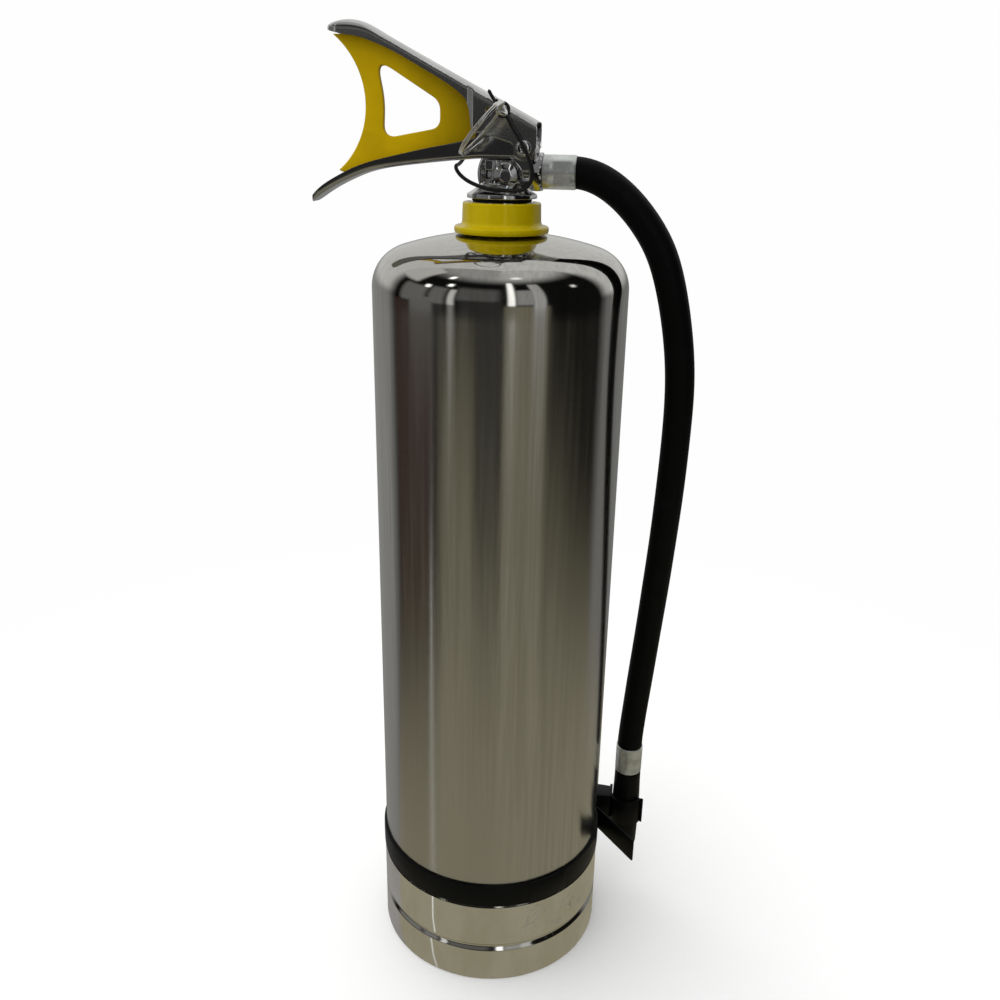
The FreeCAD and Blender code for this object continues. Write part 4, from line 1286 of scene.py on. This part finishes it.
def make_tie(finish):
    """The tamper tie: a loop and knot that leave with the pin, and the long run that stays."""
    loop_r, loop_wire, knot_r, band_r = 3.5, 0.95, 1.7, 1.1
    at = Vector((PIN_X, -15.0, PIN_Z))
    turns = [FULL_TURN * i / 48 for i in range(48)]
    ring = [at + Vector((loop_r * cos(a), 0.5 * sin(2 * a), loop_r * sin(a))) for a in turns]
    loop = sweep("tie_ring", ring, loop_wire, finish, 16, closed=True)
    away = Vector((-0.62, -0.08, 0.78)).normalized()
    knot_at = at + Vector((-2.6, -0.2, 2.6))
    knot_line = [knot_at + away * (3.4 * i / 8 - 0.4) for i in range(9)]
    knot = sweep("tie_knot", knot_line, knot_r, finish, 20, taper=round_tip(0.3))
    tail_line = spline([knot_at, knot_at + away * 4, knot_at + away * 9 + Vector((0.5, 0, 0.4))], 12)
    tail = sweep("tie_tail", tail_line, loop_wire, finish, 16, taper=round_tip(0.06))
    place(join("tie_loop", [loop, knot, tail]), "pin", "seal_loop")
    run = [(3.9, -15.3, 553.0), (5.6, -15.6, 549.8), (9.0, -15.9, 544.5), (14.5, -17.0, 536.0),
           (18.2, -16.2, 527.5), (18.6, -14.5, 519.5), (14.5, -15.8, 514.4), (7.0, -18.4, 513.6),
           (-3.0, -18.2, 513.9), (-10.5, -14.0, 515.2), (-18.5, -10.0, 518.0), (-25.0, -5.0, 522.4),
           (-27.3, 1.0, 525.2), (-27.0, 8.0, 526.2), (-25.5, 13.2, 528.8), (-21.5, 14.4, 534.5),
           (-13.5, 14.8, 541.5), (-4.5, 15.0, 548.5)]
    band = sweep("tie_run", spline(run, 110), band_r, finish, 18, taper=round_tip(0.01))
    place(band, "cylinder", "seal_band")


# ================================================================ gauge
def make_gauge(finish):
    """The gauge's bezel and its cup with the hexagon behind it; the dial, needle and lens are the CAD's."""
    at = middle("gauge_case")
    centre = (at.x, 0, at.z)
    low, high = extent("gauge_bezel")
    bezel_r, cup_r, cup_wall, lip = half_x("gauge_bezel"), 17.0, 1.2, 0.9
    stem_r, stem_bore = 4.0, 1.2
    cup_back = 23.8
    cup_front = cup_back + 9.4
    hex_across, hex_low, hex_high = 11, 15, 20
    bezel_line = [(cup_r + 0.05, low.y, 0.2), (bezel_r, low.y, 0.5), (bezel_r, high.y, 1.3),
                  (cup_r - 2.0, high.y, 0.6), (cup_r - 2.0, high.y - lip, 0.2),
                  (cup_r + 0.05, high.y - lip, 0)]
    place(turned("bezel", bezel_line, finish, centre, Y_AXIS, 128), "cylinder", "gauge_bezel")
    stem_end = extent("gauge_case")[0].y
    cup_line = [(stem_bore, stem_end, 0), (stem_r, stem_end, 0.3), (stem_r, cup_back, 0.3),
                (cup_r, cup_back, 1.6), (cup_r, cup_front, 0.2), (cup_r - cup_wall, cup_front, 0.2),
                (cup_r - cup_wall, cup_back + 1.5, 1), (stem_bore, cup_back + 1.5, 0)]
    cup = turned("gauge_cup", cup_line, finish, centre, Y_AXIS, 128)
    hex_line = [(stem_r - 0.1, hex_low), (6.0, hex_low), (6.0, hex_high), (stem_r - 0.1, hex_high)]
    flats = lathe("gauge_hex", hex_line, finish, centre, Y_AXIS, 72,
                  hex_nut(hex_across, 0.1, hex_low, hex_high))
    place(join("gauge_body", [cup, flats]), "cylinder", "gauge_case")


# ================================================================ everything together
def make_materials():
    return {
        "brushed": brushed_steel(shoulder_height()),
        "polished": polished_skirt(),
        "chrome": chrome("chrome_plate", (0.70, 0.705, 0.72), 0.05, 0.14),
        # The lever and the handle share one chrome plating: the lever's copy is made brighter as painted
        # light and the handle's darker as painted shade.
        "lever_chrome_painted_light": chrome("chrome_lever_painted_light", (0.78, 0.785, 0.79), 0.10, 0.20, 45.0),
        "handle_chrome_painted_shade": chrome("chrome_handle_painted_shade", (0.48, 0.485, 0.50), 0.06, 0.13, 45.0),
        "yellow": moulded_plastic("yellow_gloss", (0.49, 0.37, 0.0), (0.58, 0.46, 0.01), 0.10, 0.5,
                                  (1.0, 0.85, 0.25)),
        # The satin insert gets painted shade towards the pivot, from x -62 to -12 mm.
        "yellow_flat": moulded_plastic("yellow_satin", (0.56, 0.37, 0.0), (0.60, 0.44, 0.01), 0.42, 0.2,
                                       (1.0, 0.8, 0.2), (-62, -12)),
        "black": moulded_plastic("black_moulded", (0.0014, 0.0018, 0.0022), (0.010, 0.011, 0.012), 0.33,
                                 0.16),
        "rubber": rubber("hose_rubber", (0.0010, 0.0013, 0.0018), 0.42, (1, 1, 0.06)),
        "seal": rubber("seal_rubber", (0.006, 0.006, 0.006), 0.55, (1, 1, 1)),
        "zinc": dull_metal("zinc_crimped", (0.82, 0.85, 0.83), (0.34, 0.33, 0.26), 0.20),
        "brass": dull_metal("brass_turned", (0.70, 0.50, 0.20), (0.35, 0.24, 0.10), 0.25),
        "spring": dull_metal("spring_wire", (0.74, 0.735, 0.71), (0.40, 0.35, 0.28), 0.10),
        "wire": chrome("chrome_wire", (0.80, 0.80, 0.79), 0.03, 0.10, 120.0),
        "tie": moulded_plastic("tie_nylon", (0.006, 0.006, 0.007), (0.03, 0.03, 0.03), 0.30, 0.45),
        "pipe": moulded_plastic("siphon_pipe", (0.70, 0.71, 0.70), (0.85, 0.85, 0.85), 0.40),
        "lens": clear_lens(),
        "face": gauge_face(middle("gauge_dial"), 17.0),
        "needle": moulded_plastic("needle_paint", (0.010, 0.010, 0.010), (0.04, 0.04, 0.04), 0.40),
    }


# The CAD nodes of each look. Those that no piece stands for stay as they are and only get the material.
NODE_LOOKS = {
    "brushed": ["tank_shell"],
    "polished": ["tank_base_skirt", "tank_bottom", "neck_ring"],
    "chrome": ["hose_coupling_nut", "valve_body", "side_plug", "lever_pivot_rivet", "gauge_bezel",
               "gauge_case", "lever_presser", "hose_tail_top"],
    "lever_chrome_painted_light": ["squeeze_lever"],
    "handle_chrome_painted_shade": ["carry_handle"],
    "wire": ["safety_pin", "pin_ring"],
    "spring": ["stem_spring"],
    "zinc": ["hose_ferrule_top", "hose_ferrule_bottom"],
    "brass": ["stem_gland", "valve_stem", "nozzle_insert", "nozzle_barb", "gauge_arbor",
              "gauge_bourdon_tube"],
    "yellow": ["neck_collar"],
    "yellow_flat": ["lock_insert"],
    "black": ["tank_strap", "hose_clip", "nozzle_body"],
    "tie": ["seal_loop", "seal_band"],
    "rubber": ["hose"],
    "seal": ["valve_neck_seal", "stem_seat_seal", "stem_oring", "side_plug_washer", "hose_outlet_seal"],
    "pipe": ["dip_tube", "spring_retainer"],
    "lens": ["gauge_lens"],
    "face": ["gauge_dial"],
    "needle": ["gauge_needle"],
}
PIECES = [
    (make_tank, "brushed"), (make_skirt, "polished"), (make_collar, "yellow"), (make_strap, "black"),
    (make_clip, "black"), (make_nozzle, "black"), (make_hose, "rubber"), (make_ferrules, "zinc"),
    (make_nut, "chrome"), (make_valve, "chrome"), (make_side_plug, "chrome"), (make_lever, "lever_chrome_painted_light"),
    (make_handle, "handle_chrome_painted_shade"), (make_rivet, "chrome"), (make_spring, "spring"), (make_insert, "yellow_flat"),
    (make_pin, "wire"), (make_split_ring, "wire"), (make_tie, "tie"), (make_gauge, "chrome"),
]


def dress_cad(materials):
    """Every CAD node, shown or stood for, gets its procedural material."""
    for look, names in NODE_LOOKS.items():
        for name in names:
            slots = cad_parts[name].data.materials
            slots.clear()
            slots.append(materials[look])


def main():
    materials = make_materials()
    dress_cad(materials)
    for make, look in PIECES:
        make(materials[look])
    make_world()
    make_floor()
    make_camera()
    bpy.context.scene.view_settings.view_transform = "Standard"
    bpy.context.scene.view_settings.look = "None"


main()
